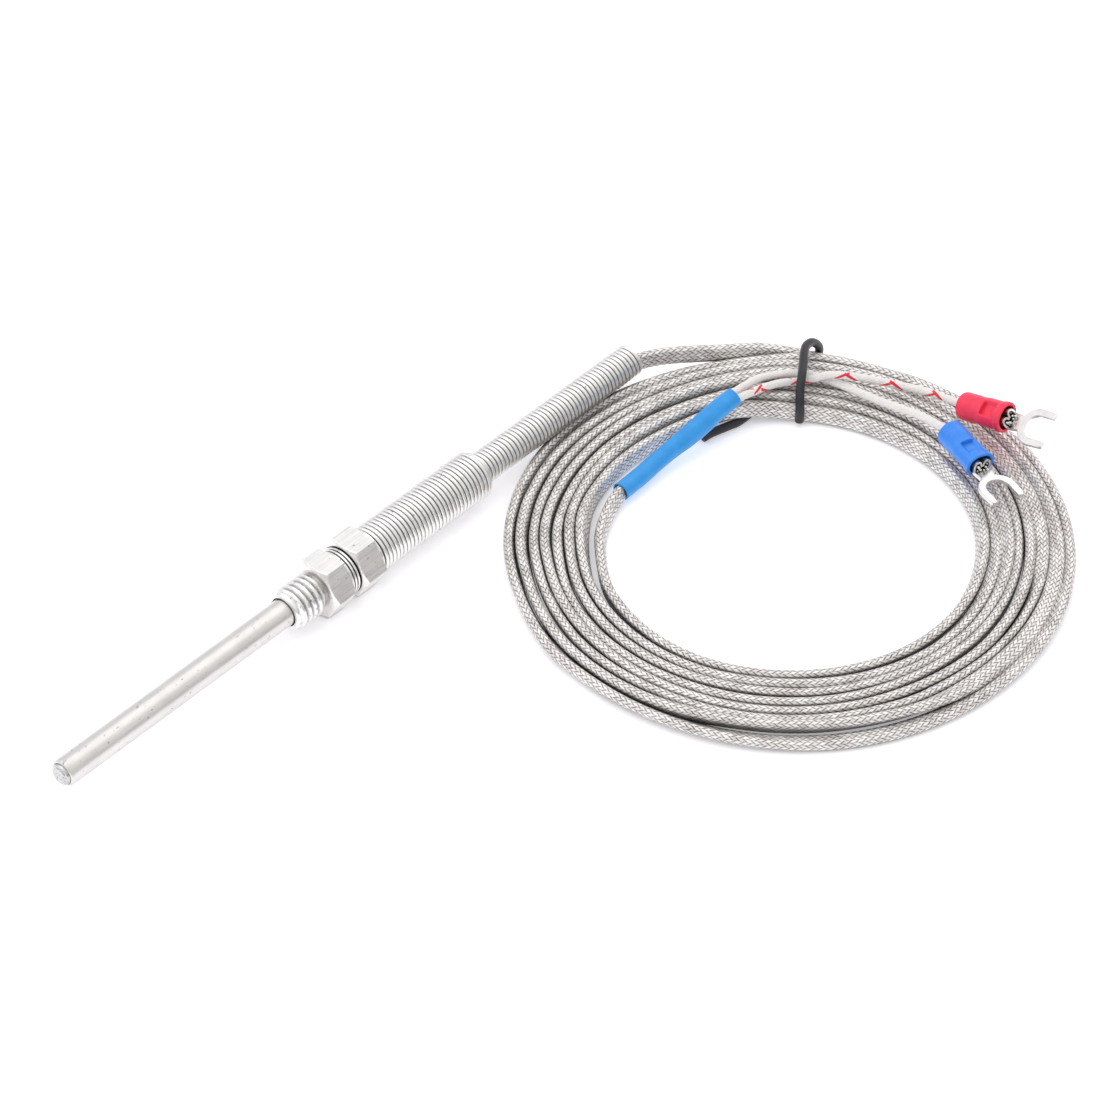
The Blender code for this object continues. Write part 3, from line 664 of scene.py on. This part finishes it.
def braid_material():
    made, n, shader = material("stainless_braid")
    along, around = n.uv()
    column = n.math("MULTIPLY", around, BRAID_COLUMNS * 2.0)
    within = n.math("FRACT", column)
    right = n.math("FRACT", n.math("MULTIPLY", n.math("FLOOR", column), 0.5))
    right = n.math("MULTIPLY", right, 2.0)
    flipped = n.math("ABSOLUTE", n.math("SUBTRACT", right, within))
    phase = n.math("DIVIDE", along, BRAID_PITCH)
    phase = n.math("MULTIPLY_ADD", flipped, BRAID_SLANT, phase)
    phase = n.math("MULTIPLY_ADD", right, 0.5, phase)
    wave = n.math("ABSOLUTE", n.math("SINE", n.math("MULTIPLY", phase, math.pi)))
    dip = n.math("SINE", n.math("MULTIPLY", within, math.pi))
    dip = n.math("POWER", dip, 0.5)
    ribbon = n.math("MULTIPLY", n.math("POWER", wave, 0.42), n.math("MULTIPLY_ADD", dip, 0.36, 0.64))
    strand = n.math("ADD", n.math("MULTIPLY", n.math("FLOOR", phase), 7.31), n.math(
        "MULTIPLY", n.math("FLOOR", column), 3.17))
    chance = n.math("FRACT", n.math("MULTIPLY", n.math("SINE", strand), 437.5))
    fine = n.math("SINE", n.math("MULTIPLY", phase, TAU * 3))
    grime = n.noise(0.35, n.place(), 3.0)
    tone = n.math("MULTIPLY_ADD", chance, 0.24, -0.12)
    tone = n.math("ADD", ribbon, n.math("ADD", tone, n.math("MULTIPLY_ADD", grime, 0.36, -0.18)))
    # The ramp follows each strand's rise: painted shade, near black, where the strands dip under each
    # other and at the column edges, and a painted highlight on their crowns; the per-strand and patchy
    # tone added on top is random
    colour = n.ramp(
        tone, (0.22, (0.045, 0.036, 0.032)), (0.46, (0.30, 0.27, 0.25)),
        (0.62, (0.60, 0.57, 0.545)), (0.86, (0.72, 0.69, 0.665)), (1.0, (0.92, 0.905, 0.885)),
    )
    # Painted shade: the braid's colour is darkened where neighbouring turns and pieces close in, within
    # about 2.5 mm
    depth = n.hollow_shade(CABLE_WIDE * 0.8, (0.16, 0.10), (0.62, 1.0))
    dimmed = n.new("ShaderNodeVectorMath", operation="SCALE")
    n.feed(dimmed.inputs[0], colour)
    n.feed(dimmed.inputs["Scale"], depth)
    n.feed(shader["Base Color"], dimmed.outputs[0])
    shader["Metallic"].default_value = 0.6
    n.feed(shader["Roughness"], n.math("MULTIPLY_ADD", chance, 0.14, 0.40))
    height = n.math("MULTIPLY_ADD", fine, 0.05, ribbon)
    n.feed(shader["Normal"], n.bump(height, 0.7, 0.00012))
    return made


def spots(n, where, scale, share, detail=2.0):
    """1 in scattered small marks that cover about this share, else 0."""
    marks = n.noise(scale, where, detail, 0.6)
    return n.ramp(marks, (0.5 + 0.2 * (1 - share), 0.0), (0.56 + 0.2 * (1 - share), 1.0))


def steel(name, colour, roughness, grain=(0.05, 1.2, 1.2), scale=3.0, relief=0.12, marks=0.35,
          contrast=0.24, groove=0.0, dark=(0.12, 0.10, 0.09)):
    """Worked steel: lines along the grain, cloudy gloss, small dark nicks, and painted shade in any
    grooves that are about groove millimetres across."""
    made, n, shader = material(name)
    lines = n.noise(scale, n.place(grain), 4.0, 0.6)
    cloud = n.noise(0.28, n.place(), 3.0, 0.5)
    nick = spots(n, n.place((0.5, 1.0, 1.0)), 2.1, marks, 4.0)
    tone = n.math("MULTIPLY_ADD", lines, contrast, 0.98 - contrast / 2)
    # Painted shade: the tone is darkened in grooves and gaps within groove millimetres
    if groove:
        tone = n.math("MULTIPLY", tone, n.hollow_shade(groove, (0.30, 0.22), (0.72, 1.0)))
    tone = n.math("MULTIPLY", tone, n.math("MULTIPLY_ADD", cloud, 0.2, 0.9))
    scaled = n.new("ShaderNodeVectorMath", operation="SCALE")
    n.feed(scaled.inputs[0], colour)
    n.feed(scaled.inputs["Scale"], tone)
    n.feed(shader["Base Color"], n.mix(n.math("MULTIPLY", nick, 0.75), scaled.outputs[0], dark))
    shader["Metallic"].default_value = 1.0
    rough = n.math("MULTIPLY_ADD", lines, 0.16, roughness - 0.08)
    n.feed(shader["Roughness"], n.math("ADD", rough, n.math("MULTIPLY", nick, 0.2)))
    height = n.math("SUBTRACT", lines, n.math("MULTIPLY", nick, 0.8))
    n.feed(shader["Normal"], n.bump(height, relief, 0.00005))
    return made


def plastic(name, colour, deep, roughness, grain=1.6, relief=0.1, groove=0.0):
    """Moulded or shrunk plastic: cloudy colour, a faint orange-peel surface and uneven gloss,
    and painted shade, a deeper colour, in any pits and gaps that are about groove millimetres across."""
    made, n, shader = material(name)
    cloud = n.noise(0.45, n.place(), 3.0, 0.55)
    fine = n.noise(grain, n.place(), 4.0, 0.6)
    shade = n.mix(n.ramp(cloud, (0.35, 0.0), (0.7, 1.0)), colour, deep)
    # Painted shade: the colour deepens towards 0.42 of deep in pits and gaps within groove millimetres
    if groove:
        shade = n.mix(n.hollow_shade(groove, (0.35, 0.0), (0.85, 1.0)), tuple(0.42 * c for c in deep), shade)
    n.feed(shader["Base Color"], shade)
    n.feed(shader["Roughness"], n.math("MULTIPLY_ADD", fine, 0.2, roughness - 0.1))
    n.feed(shader["Normal"], n.bump(fine, relief, 0.00008))
    shader["Specular IOR Level"].default_value = 0.5
    return made


def yarn(name, traced):
    """Braided glass yarn, white, with or without a red tracer in each direction."""
    made, n, shader = material(name)
    along, around = n.uv()
    left, right = (
        n.math("SINE", n.math(
            "MULTIPLY_ADD", around, hand * YARN_STRANDS * TAU, n.math("MULTIPLY", along, YARN_SLOPE)
        ))
        for hand in (1, -1)
    )
    weave = n.math("MAXIMUM", left, right)
    fuzz = n.noise(3.0, n.place(), 4.0, 0.7)
    colour = n.mix(n.ramp(fuzz, (0.3, 0.0), (0.8, 1.0)), (0.92, 0.90, 0.875), (0.72, 0.69, 0.655))
    if traced:
        for turn, start, wide in ((1, 0.0, 0.16), (-1, 0.30, 0.13)):
            phase = n.math("MULTIPLY_ADD", around, turn, n.math("MULTIPLY_ADD", along, 0.12, start))
            near = n.math("ABSOLUTE", n.math("SUBTRACT", n.math("FRACT", phase), 0.5))
            line = n.ramp(near, (wide * 0.40, 1.0), (wide * 0.5, 0.0))
            over = n.math("SINE", n.math("MULTIPLY_ADD", along, TAU * 0.25, start * 9))
            seen = n.ramp(n.math("MULTIPLY_ADD", over, 0.5, 0.5), (0.22, 0.0), (0.34, 1.0))
            line = n.math("MULTIPLY", line, seen)
            line = n.math("MULTIPLY", line, n.ramp(fuzz, (0.28, 0.45), (0.40, 1.0)))
            colour = n.mix(line, colour, (0.76, 0.018, 0.045))
    n.feed(shader["Base Color"], colour)
    shader["Roughness"].default_value = 0.72
    shader["Sheen Weight"].default_value = 0.25
    height = n.math("MULTIPLY_ADD", fuzz, 0.7, n.math("MULTIPLY", weave, 0.35))
    n.feed(shader["Normal"], n.bump(height, 0.7, 0.00014))
    return made


def ceramic():
    made, n, shader = material("ceramic_body")
    speck = n.noise(2.5, n.place(), 4.0, 0.6)
    n.feed(shader["Base Color"], n.mix(speck, (0.88, 0.85, 0.77), (0.78, 0.74, 0.66)))
    shader["Roughness"].default_value = 0.8
    n.feed(shader["Normal"], n.bump(speck, 0.3, 0.0001))
    return made


# ---------------------------------------------------------------- probe


def rounded_thread(start, end, crest, root, pitch, runout):
    """Rows (station, radii) of a right-hand thread whose crests fade over its front runout."""
    angles = np.arange(AROUND_ROUND) / AROUND_ROUND
    rows = []
    for station in np.linspace(start, end, int((end - start) / pitch * 16) + 1):
        turn = (station - start) / pitch - angles
        height = 0.5 - 0.5 * np.cos(TAU * turn)
        height = np.clip(height * 1.5, 0, 1) ** 0.8
        fade = np.clip((station - start) / runout, 0, 1)
        rows.append((station, root + (crest - root) * height * fade))
    return rows


def soft_least(one, two, width):
    """The lesser of two values, with the corner between them rounded."""
    gap = np.clip((two - one) / width, -40, 40)
    return one - width * np.log1p(np.exp(-gap))


def hexagon_rows(start, end, rear_chamfer):
    """Rows (station, radii) of a hexagon with turned-off, slightly rounded corners."""
    steps = AROUND_HEXAGON
    flats = (GLAND_HIGH[2] - GLAND_LOW[2]) / 2
    angles = np.degrees(np.arange(steps) / steps * TAU)
    corner = flats / np.cos(np.radians(angles % 60 - 30))
    corner = soft_least(corner, np.full(steps, flats / math.cos(math.pi / 6) + 0.02), 0.03)
    length = end - start
    depths = np.concatenate([np.linspace(0, 0.75, 12), np.linspace(0.9, length - 0.9, 6)])
    depths = np.concatenate([depths, np.linspace(length - 0.75, length, 12)])
    rows = []
    for depth in depths:
        near = 4.72 + depth * 1.75
        far = 4.72 + (length - depth) * 1.75 if rear_chamfer else 5.6 + (length - depth) * 8
        limit = np.full(steps, min(near, far))
        rows.append((start + depth, soft_least(corner, limit, 0.05)))
    return rows


def closed_rows(name, rows, bore, body, steps):
    """Rows of radii about the probe's axis, closed through a bore."""
    first, last = rows[0][0], rows[-1][0]
    full = [(station, np.broadcast_to(radii, steps)) for station, radii in rows]
    full += [(last, np.full(steps, bore)), (first, np.full(steps, bore))]
    return turned_rows(name, full, body, steps)


def turned_rows(name, rows, body, steps):
    angles = np.arange(steps) / steps * TAU
    rings = [
        np.stack([
            np.full(steps, TIP_X + station), np.broadcast_to(radii, steps) * np.cos(angles),
            AXIS_Z + np.broadcast_to(radii, steps) * np.sin(angles),
        ], 1)
        for station, radii in rows
    ]
    return ring_piece(name, rings, body)


def ring_piece(name, rings, body, angle=38):
    """A closed skin through rings of points, the last joined to the first."""
    around = len(rings[0])
    faces = grid_faces(len(rings) + 1, around) % (len(rings) * around)
    piece = mesh_piece(name, np.vstack(rings), faces.tolist(), body)
    shape = bmesh.new()
    shape.from_mesh(piece.data)
    bmesh.ops.remove_doubles(shape, verts=shape.verts, dist=1e-7)
    bmesh.ops.dissolve_degenerate(shape, edges=shape.edges, dist=1e-8)
    bmesh.ops.recalc_face_normals(shape, faces=shape.faces)
    shape.to_mesh(piece.data)
    shape.free()
    piece.data.set_sharp_from_angle(angle=math.radians(angle))
    return piece


def joined(name, pieces):
    """Several meshes of one real piece as one object."""
    shape = bmesh.new()
    for piece in pieces:
        shape.from_mesh(piece.data)
    mesh = bpy.data.meshes.new(name)
    shape.to_mesh(mesh)
    shape.free()
    body = pieces[0]["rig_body"]
    for piece in pieces:
        bpy.data.objects.remove(piece, do_unlink=True)
    whole = bpy.data.objects.new(name, mesh)
    bpy.context.scene.collection.objects.link(whole)
    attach(whole, body)
    return whole


def station_of(x):
    return x - TIP_X


def sheath():
    low, high = box_mm("sheath_tube")
    front, rear = station_of(low[0]), station_of(high[0])
    outer = (high[2] - low[2]) / 2
    rows = [
        (rear, outer), (front + 1.3, outer), (front + 0.95, outer - 0.03), (front + 0.7, outer - 0.14),
        (front + 0.55, outer - 0.32), (front + 0.5, outer - 0.45), (front + 0.6, outer - 0.5),
        (front + 0.9, outer - 0.5), (rear, outer - 0.5),
    ]
    rows[1:1] = [(s, outer) for s in np.linspace(rear, front + 1.4, 60)[1:-1]]
    tube_piece = turned_rows("sheath_skin", rows, "probe", AROUND_ROUND)
    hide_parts("sheath_tube")
    paint(tube_piece, steel("drawn_stainless", (0.72, 0.70, 0.68), 0.38, (0.03, 1.0, 1.0), 4.0,
                            relief=0.16, marks=0.29, contrast=0.20))
    dome = [(2.4, 0.0), (2.4, 1.9), (front + 0.9, 1.95)]
    for a in np.linspace(1.5, 0.0, 40):
        ripple = 0.04 * math.sin(a * 14) * math.sin(a * 2)
        dome.append((0.8 * (1 - math.cos(a)) + 0.05 + ripple, 1.97 * math.sin(a)))
    cap = turned_rows("weld_cap", dome, "probe", 64)
    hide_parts("tip_weld_cap")
    # groove paints shade into the weld's ripples and the seam at the sheath
    paint(cap, steel("weld_steel", (0.60, 0.595, 0.59), 0.26, (1.0, 1.0, 1.0), 1.6, relief=0.6, marks=0.5,
                     groove=0.5))


def fitting():
    # groove paints shade into the threads, collar rings and the gaps between the fitting's pieces
    metal = steel("milled_steel", (0.86, 0.84, 0.815), 0.30, (0.05, 1.6, 1.6), 2.6, relief=0.5,
                  marks=0.34, contrast=0.55, groove=0.8)
    threads = steel("threaded_steel", (0.92, 0.905, 0.885), 0.30, (1.0, 1.0, 1.0), 1.6, relief=0.12,
                    marks=0.46, groove=1.0)
    stub_start = station_of(GLAND_LOW[0])
    hex_start, hex_end = stub_start + STUB_END, stub_start + HEXAGON_END
    collar_end = stub_start + COLLAR_END
    thread = rounded_thread(
        stub_start + 0.15, hex_start - 1.05, crest=3.95, root=3.38, pitch=1.25, runout=0.9
    )
    rows = [(stub_start, 3.2)] + thread + [
        (hex_start - 0.95, 3.0), (hex_start - 0.05, 3.0), (hex_start + 0.5, 3.0)
    ]
    stub = closed_rows("stub", rows, STUB_BORE, "gland", AROUND_ROUND)
    collar = [(hex_end - 0.3, 4.05)]
    for base in (hex_end + 0.1, hex_end + 0.78, hex_end + 1.46):
        collar += [(base, 4.12), (base + 0.1, 4.42), (base + 0.44, 4.44), (base + 0.54, 4.12)]
    collar += [(collar_end + 0.15, 4.1), (collar_end + 0.15, 3.8), (collar_end + 3.2, 3.8)]
    neck = closed_rows("neck", collar, NECK_BORE, "gland", AROUND_ROUND)
    hexagon = hexagon_rows(hex_start, hex_end, True)
    first = closed_rows("first_hexagon", hexagon, HEXAGON_BORE, "gland", AROUND_HEXAGON)
    for piece, made in ((stub, threads), (neck, threads), (first, metal)):
        paint(piece, made)
    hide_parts("gland_body")
    nut_start, nut_end = station_of(NUT_LOW[0]), station_of(NUT_HIGH[0])
    rows = hexagon_rows(nut_start, nut_end, False)
    rows += [(nut_end, 2.85), (nut_end - 0.7, 2.85), (nut_end - 0.7, 4.15), (nut_start + 0.3, 4.15),
             (nut_start, 4.45)]
    nut = turned_rows("nut_hexagon", rows, "nut", AROUND_HEXAGON)
    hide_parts("gland_nut")
    paint(nut, metal)
    paint(NODES["spring_seat"], threads)
    paint(NODES["compression_ferrule"], metal)


def spring():
    wire, pitch, per_turn = 0.425, 0.88, 28
    start, end = station_of(SEAT_LOW[0]) + 0.5 + wire, station_of(SPRING_HIGH[0]) - wire
    step_at, step_turns = 99.6, 2.2
    large, small = (SPRING_HIGH[2] - SPRING_LOW[2]) / 2 - wire, 3.0 - wire
    count = int((end - start) / pitch * per_turn)
    share = np.arange(count + 1) / count
    station = start + (end - start) * share
    turn = np.arange(count + 1) / per_turn * TAU
    step = np.clip((station - step_at) / (step_turns * pitch), 0, 1)
    step = step * step * (3 - 2 * step)
    ripple = 0.02 * np.sin(turn * 0.131) + 0.015 * np.sin(turn * 0.377)
    radius = large + (small - large) * step + ripple
    line = np.stack([
        TIP_X + station, radius * np.cos(turn), AXIS_Z + radius * np.sin(turn)
    ], 1)
    outward = line - np.stack([line[:, 0], np.zeros(count + 1), np.full(count + 1, AXIS_Z)], 1)
    outward /= np.linalg.norm(outward, axis=1)[:, None]
    sideways = np.tile([1.0, 0, 0], (count + 1, 1))
    piece = swept("spring_wire", line, outward, sideways, circle(wire, 12), body=None)
    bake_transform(piece)
    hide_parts("stepped_spring")
    # groove paints shade between the spring's coils
    paint(piece, steel("spring_steel", (0.86, 0.845, 0.825), 0.30, (1.0, 1.0, 1.0), 0.9, relief=0.03,
                       marks=0.30, groove=0.8))


# ---------------------------------------------------------------- cores, sleeve and tie


def heat_shrink():
    line = evenly(smooth_route(SHRINK_ROUTE, 0.6), 0.5)
    share = np.linspace(0, 1, len(line))
    radius = np.interp(share, SHRINK_PLACES, SHRINK_RADII)
    radius = smoothed(radius, 0.5, 12) + 0.04 * np.exp(-(share / 0.02) ** 2)
    radius += 0.015 * np.sin(share * 47) * np.sin(share * 13)
    side, over = cross_axes(line)
    ring = circle(1.0, 40)
    rings = []
    for k in range(len(line)):
        flat = 1.0 + 0.05 * math.sin(share[k] * 9)
        shape = ring[:, 0:1] * side[k] * flat + ring[:, 1:2] * over[k] / flat
        rings.append(line[k] + shape * radius[k])
    inner = [line[k] + (ring_points - line[k]) * SLEEVE_WALL_SHARE for k, ring_points in enumerate(rings)]
    piece = ring_piece("shrink_sleeve", rings + inner[::-1], "probe")
    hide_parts("heat_shrink_sleeve")
    paint(piece, plastic("shrink_blue", (0.024, 0.315, 0.76), (0.017, 0.27, 0.69), 0.40, 2.4, 0.3))
    return piece


def twist(along, around):
    """Height of the yarns on a core."""
    step, turn = along * YARN_SLOPE, around * YARN_STRANDS * TAU
    return 0.03 * np.sin(step + turn) + 0.03 * np.sin(step - turn)


def core(name, route, node, traced):
    line = evenly(smooth_route(route, 0.5), 0.3)
    piece = tube(name, line, CORE_RADIUS, 24, relief=twist)
    paint(piece, yarn(f"{name}_yarn", traced))
    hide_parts(node)


def twist_tie():
    line = evenly(smooth_route(TIE_ROUTE, 0.4), 0.35)
    piece = tube("wire_tie", line, TIE_RADIUS, 20)
    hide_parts("twist_tie")
    paint(piece, plastic("tie_black", (0.009, 0.008, 0.011), (0.018, 0.017, 0.022), 0.42, 2.6, 0.3))


# ---------------------------------------------------------------- terminals


def terminal_frame(rear, toward, roll):
    """Frame with X from the sleeve's rear to the fork, rolled about it, Z off the fork's face."""
    forward = Vector(toward).normalized()
    across = Vector((0, 0, 1)).cross(forward).normalized()
    level = Matrix((forward, across, forward.cross(across))).transposed().to_4x4()
    turn = Matrix.Rotation(math.radians(roll), 4, "X")
    return Matrix.Translation(Vector(rear)) @ level @ turn


def in_frame(frame_matrix, points):
    matrix = np.array(frame_matrix)
    return np.asarray(points, float) @ matrix[:3, :3].T + matrix[:3, 3]


def smooth_step(value, low, high):
    t = np.clip((value - low) / (high - low), 0, 1)
    return t * t * (3 - 2 * t)


def sleeve_skin(x, angle):
    """Radius of a terminal sleeve: round bell, flattened crimp with a pocket on top, raised lip."""
    bell = 2.5 - 0.12 * smooth_step(x, 0.3, 0.0)
    radius = bell + (2.3 - bell) * smooth_step(x, 3.0, 4.6)
    flat = smooth_step(x, 3.4, 5.2) * 0.13
    radius = radius * (1 - flat * np.cos(angle) ** 2 + 1.1 * flat * np.sin(angle) ** 2)
    lip = smooth_step(x, 8.25, 8.7) * 0.16
    across = np.abs(radius * np.sin(angle))
    top = np.cos(angle) > 0
    pocket = smooth_step(x, 5.0, 5.25) * smooth_step(x, 7.95, 7.7)
    pocket = pocket * smooth_step(across, 1.5, 1.3) * top
    floor = 1.22 / np.maximum(np.cos(angle), 0.3)
    return radius + lip - pocket * np.clip(radius - floor, 0, 2)


def sleeve(colour, place, made):
    angles = np.arange(SLEEVE_AROUND) / SLEEVE_AROUND * TAU
    rings = []
    stations = [np.linspace(0, 4.9, 26), np.linspace(4.95, 8.0, 46), np.linspace(8.1, 9.6, 18)]

    def ring_at(x, radius):
        across, up = radius * np.sin(angles), radius * np.cos(angles)
        return np.stack([np.full(SLEEVE_AROUND, x), across, up], 1)

    for x in np.concatenate(stations):
        rings.append(ring_at(x, sleeve_skin(np.full(SLEEVE_AROUND, x), angles)))
    mouth = rings[-1].copy()
    for x, share in ((9.7, 0.955), (9.7, 0.80), (9.5, 0.76), (7.9, 0.72), (7.0, 0.60)):
        ring = mouth * share
        ring[:, 0] = x
        rings.append(ring)
    for x, radius in ((4.6, 0.8), (3.4, 0.95), (3.0, 1.75), (0.2, 2.0), (0.0, 2.2)):
        rings.append(ring_at(x, radius))
    piece = ring_piece(f"sleeve_{colour}", [in_frame(place, ring) for ring in rings], "probe", 30)
    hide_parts(f"terminal_sleeve_{colour}")
    paint(piece, made)
    return piece


def fold_outline():
    """The crimp barrel's section: a sheet curled over on both sides into the strands."""
    half = [(0.12, -0.1), (0.30, 0.55), (0.62, 0.95), (1.05, 0.95), (1.42, 0.55), (1.52, -0.1),
            (1.40, -0.75), (0.95, -1.28), (0.4, -1.46), (0.0, -1.48)]
    middle = smooth_route([(y, z, 0) for y, z in half], 0.12)[:, :2]
    path = np.vstack([middle, (middle * (-1, 1))[::-1][1:]])
    along = np.gradient(path, axis=0)
    along /= np.linalg.norm(along, axis=1)[:, None]
    normal = np.stack([along[:, 1], -along[:, 0]], 1)
    return np.vstack([path + normal * 0.2, (path - normal * 0.2)[::-1]])


def fork_outline():
    """The fork's plan in the terminal's frame: neck, round shoulders, tines and stud slot."""
    centre, outer, slot, tip, neck = 15.5, 3.5, 2.15, 18.7, 1.6
    lower = [(9.4, -neck), (10.8, -neck)]
    shoulder = np.radians(np.linspace(-156, -90, 18))
    lower += [(centre + outer * math.cos(a), outer * math.sin(a)) for a in shoulder]
    lower += [(tip - 0.5, -outer + 0.1), (tip - 0.12, -outer + 0.35), (tip, -outer + 0.7)]
    lower += [(tip - 0.05, -slot - 0.15), (tip - 0.25, -slot)]
    inside = np.radians(np.linspace(-90, -270, 29))
    curve = [(centre + slot * math.cos(a), slot * math.sin(a)) for a in inside]
    upper = [(x, -y) for x, y in reversed(lower)]
    return lower + curve + upper


def prism(name, outline, place, depth_axis, low, high, bevel):
    """A flat outline given a thickness, with bevelled edges."""
    shape = bmesh.new()
    corners = []
    for a, b in outline:
        corners.append(shape.verts.new((a, b, low) if depth_axis == "Z" else (low, a, b)))
    face = shape.faces.new(corners)
    grown = bmesh.ops.extrude_face_region(shape, geom=[face])
    shift = (0, 0, high - low) if depth_axis == "Z" else (high - low, 0, 0)
    moved = [v for v in grown["geom"] if isinstance(v, bmesh.types.BMVert)]
    bmesh.ops.translate(shape, verts=moved, vec=shift)
    bmesh.ops.recalc_face_normals(shape, faces=shape.faces)
    mesh = bpy.data.meshes.new(name)
    shape.to_mesh(mesh)
    shape.free()
    mesh.transform(Matrix.Scale(MM, 4) @ place)
    piece = bpy.data.objects.new(name, mesh)
    bpy.context.scene.collection.objects.link(piece)
    rounding = piece.modifiers.new("edges", "BEVEL")
    rounding.width = bevel * MM
    rounding.segments = 3
    rounding.limit_method = "ANGLE"
    rounding.angle_limit = math.radians(50)
    mesh.shade_smooth()
    mesh.set_sharp_from_angle(angle=math.radians(50))
    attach(piece, "probe")
    return piece


def terminal(colour, rear, toward, roll, made, tin):
    place = terminal_frame(rear, toward, roll)
    skin = sleeve(colour, place, made)
    barrel = prism(f"barrel_{colour}", fold_outline(), place, "X", 7.4, 10.3, 0.05)
    fork = prism(f"fork_{colour}", fork_outline(), place, "Z", -1.5, -0.7, 0.12)
    pieces = [skin, barrel, fork]
    for piece in (barrel, fork):
        paint(piece, tin)
    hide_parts(f"fork_lug_{colour}")
    strands = []
    places = [(0.62, -0.25), (-0.62, -0.25), (0.95, 0.25), (-0.95, 0.25), (0.3, -0.8), (-0.3, -0.8),
              (0.85, -0.75), (-0.85, -0.75)]
    for k, (y, z) in enumerate(places):
        end = 10.6 + 0.4 * math.sin(k * 2.3)
        line = in_frame(place, [(7.2, y, z), (9.0, y, z), (10.2, y * 1.02, z), (end, y * 1.08, z + 0.06)])
        strands.append(tube(f"strand_{k}", line, 0.2, 8))
    bundle = joined(f"strands_{colour}", strands)
    paint(bundle, tin)
    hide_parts(f"conductor_{colour}")
    return pieces + [bundle]


def inner_parts():
    """Finishes for the pieces sealed inside the sheath."""
    dull = steel("element_wire", (0.42, 0.40, 0.38), 0.45)
    bright = steel("crimped_tin", (0.78, 0.76, 0.73), 0.3)
    white, body = plastic("core_white", (0.85, 0.84, 0.80), (0.78, 0.76, 0.72), 0.7), ceramic()
    seal = plastic("potting_resin", (0.05, 0.045, 0.04), (0.08, 0.07, 0.06), 0.5)
    for name, node in NODES.items():
        for start, made in (("thermoelement", dull), ("hot_junction", dull), ("crimp", bright),
                            ("lead_core", white), ("ceramic", body), ("rear_seal", seal)):
            if name.startswith(start):
                paint(node, made)


camera()
studio()
CABLE, CABLE_LINE = braided_cable()
paint(CABLE, braid_material())
SHRINK = heat_shrink()
# groove paints shade into the crimp barrel's folds and between the strands
TIN = steel("tinned_copper", (0.76, 0.735, 0.715), 0.22, (1.0, 1.0, 1.0), 0.8, relief=0.06, marks=0.22,
            groove=0.5)
# groove paints shade into the sleeves' crimp pockets and creases
RED = plastic("vinyl_red", (0.95, 0.034, 0.092), (0.86, 0.024, 0.072), 0.38, 1.4, 0.08,
              groove=1.2)
BLUE = plastic("vinyl_blue", (0.036, 0.265, 0.86), (0.026, 0.215, 0.78), 0.38, 1.4, 0.08,
               groove=1.2)
RED_PIECES = terminal("red", **TERMINALS["red"], made=RED, tin=TIN)
BLUE_PIECES = terminal("blue", **TERMINALS["blue"], made=BLUE, tin=TIN)
core("white_core", WHITE_ROUTE, "wire_white", False)
core("tracer_core", TRACER_ROUTE, "wire_tracer", True)
twist_tie()
sheath()
fitting()
spring()
inner_parts()
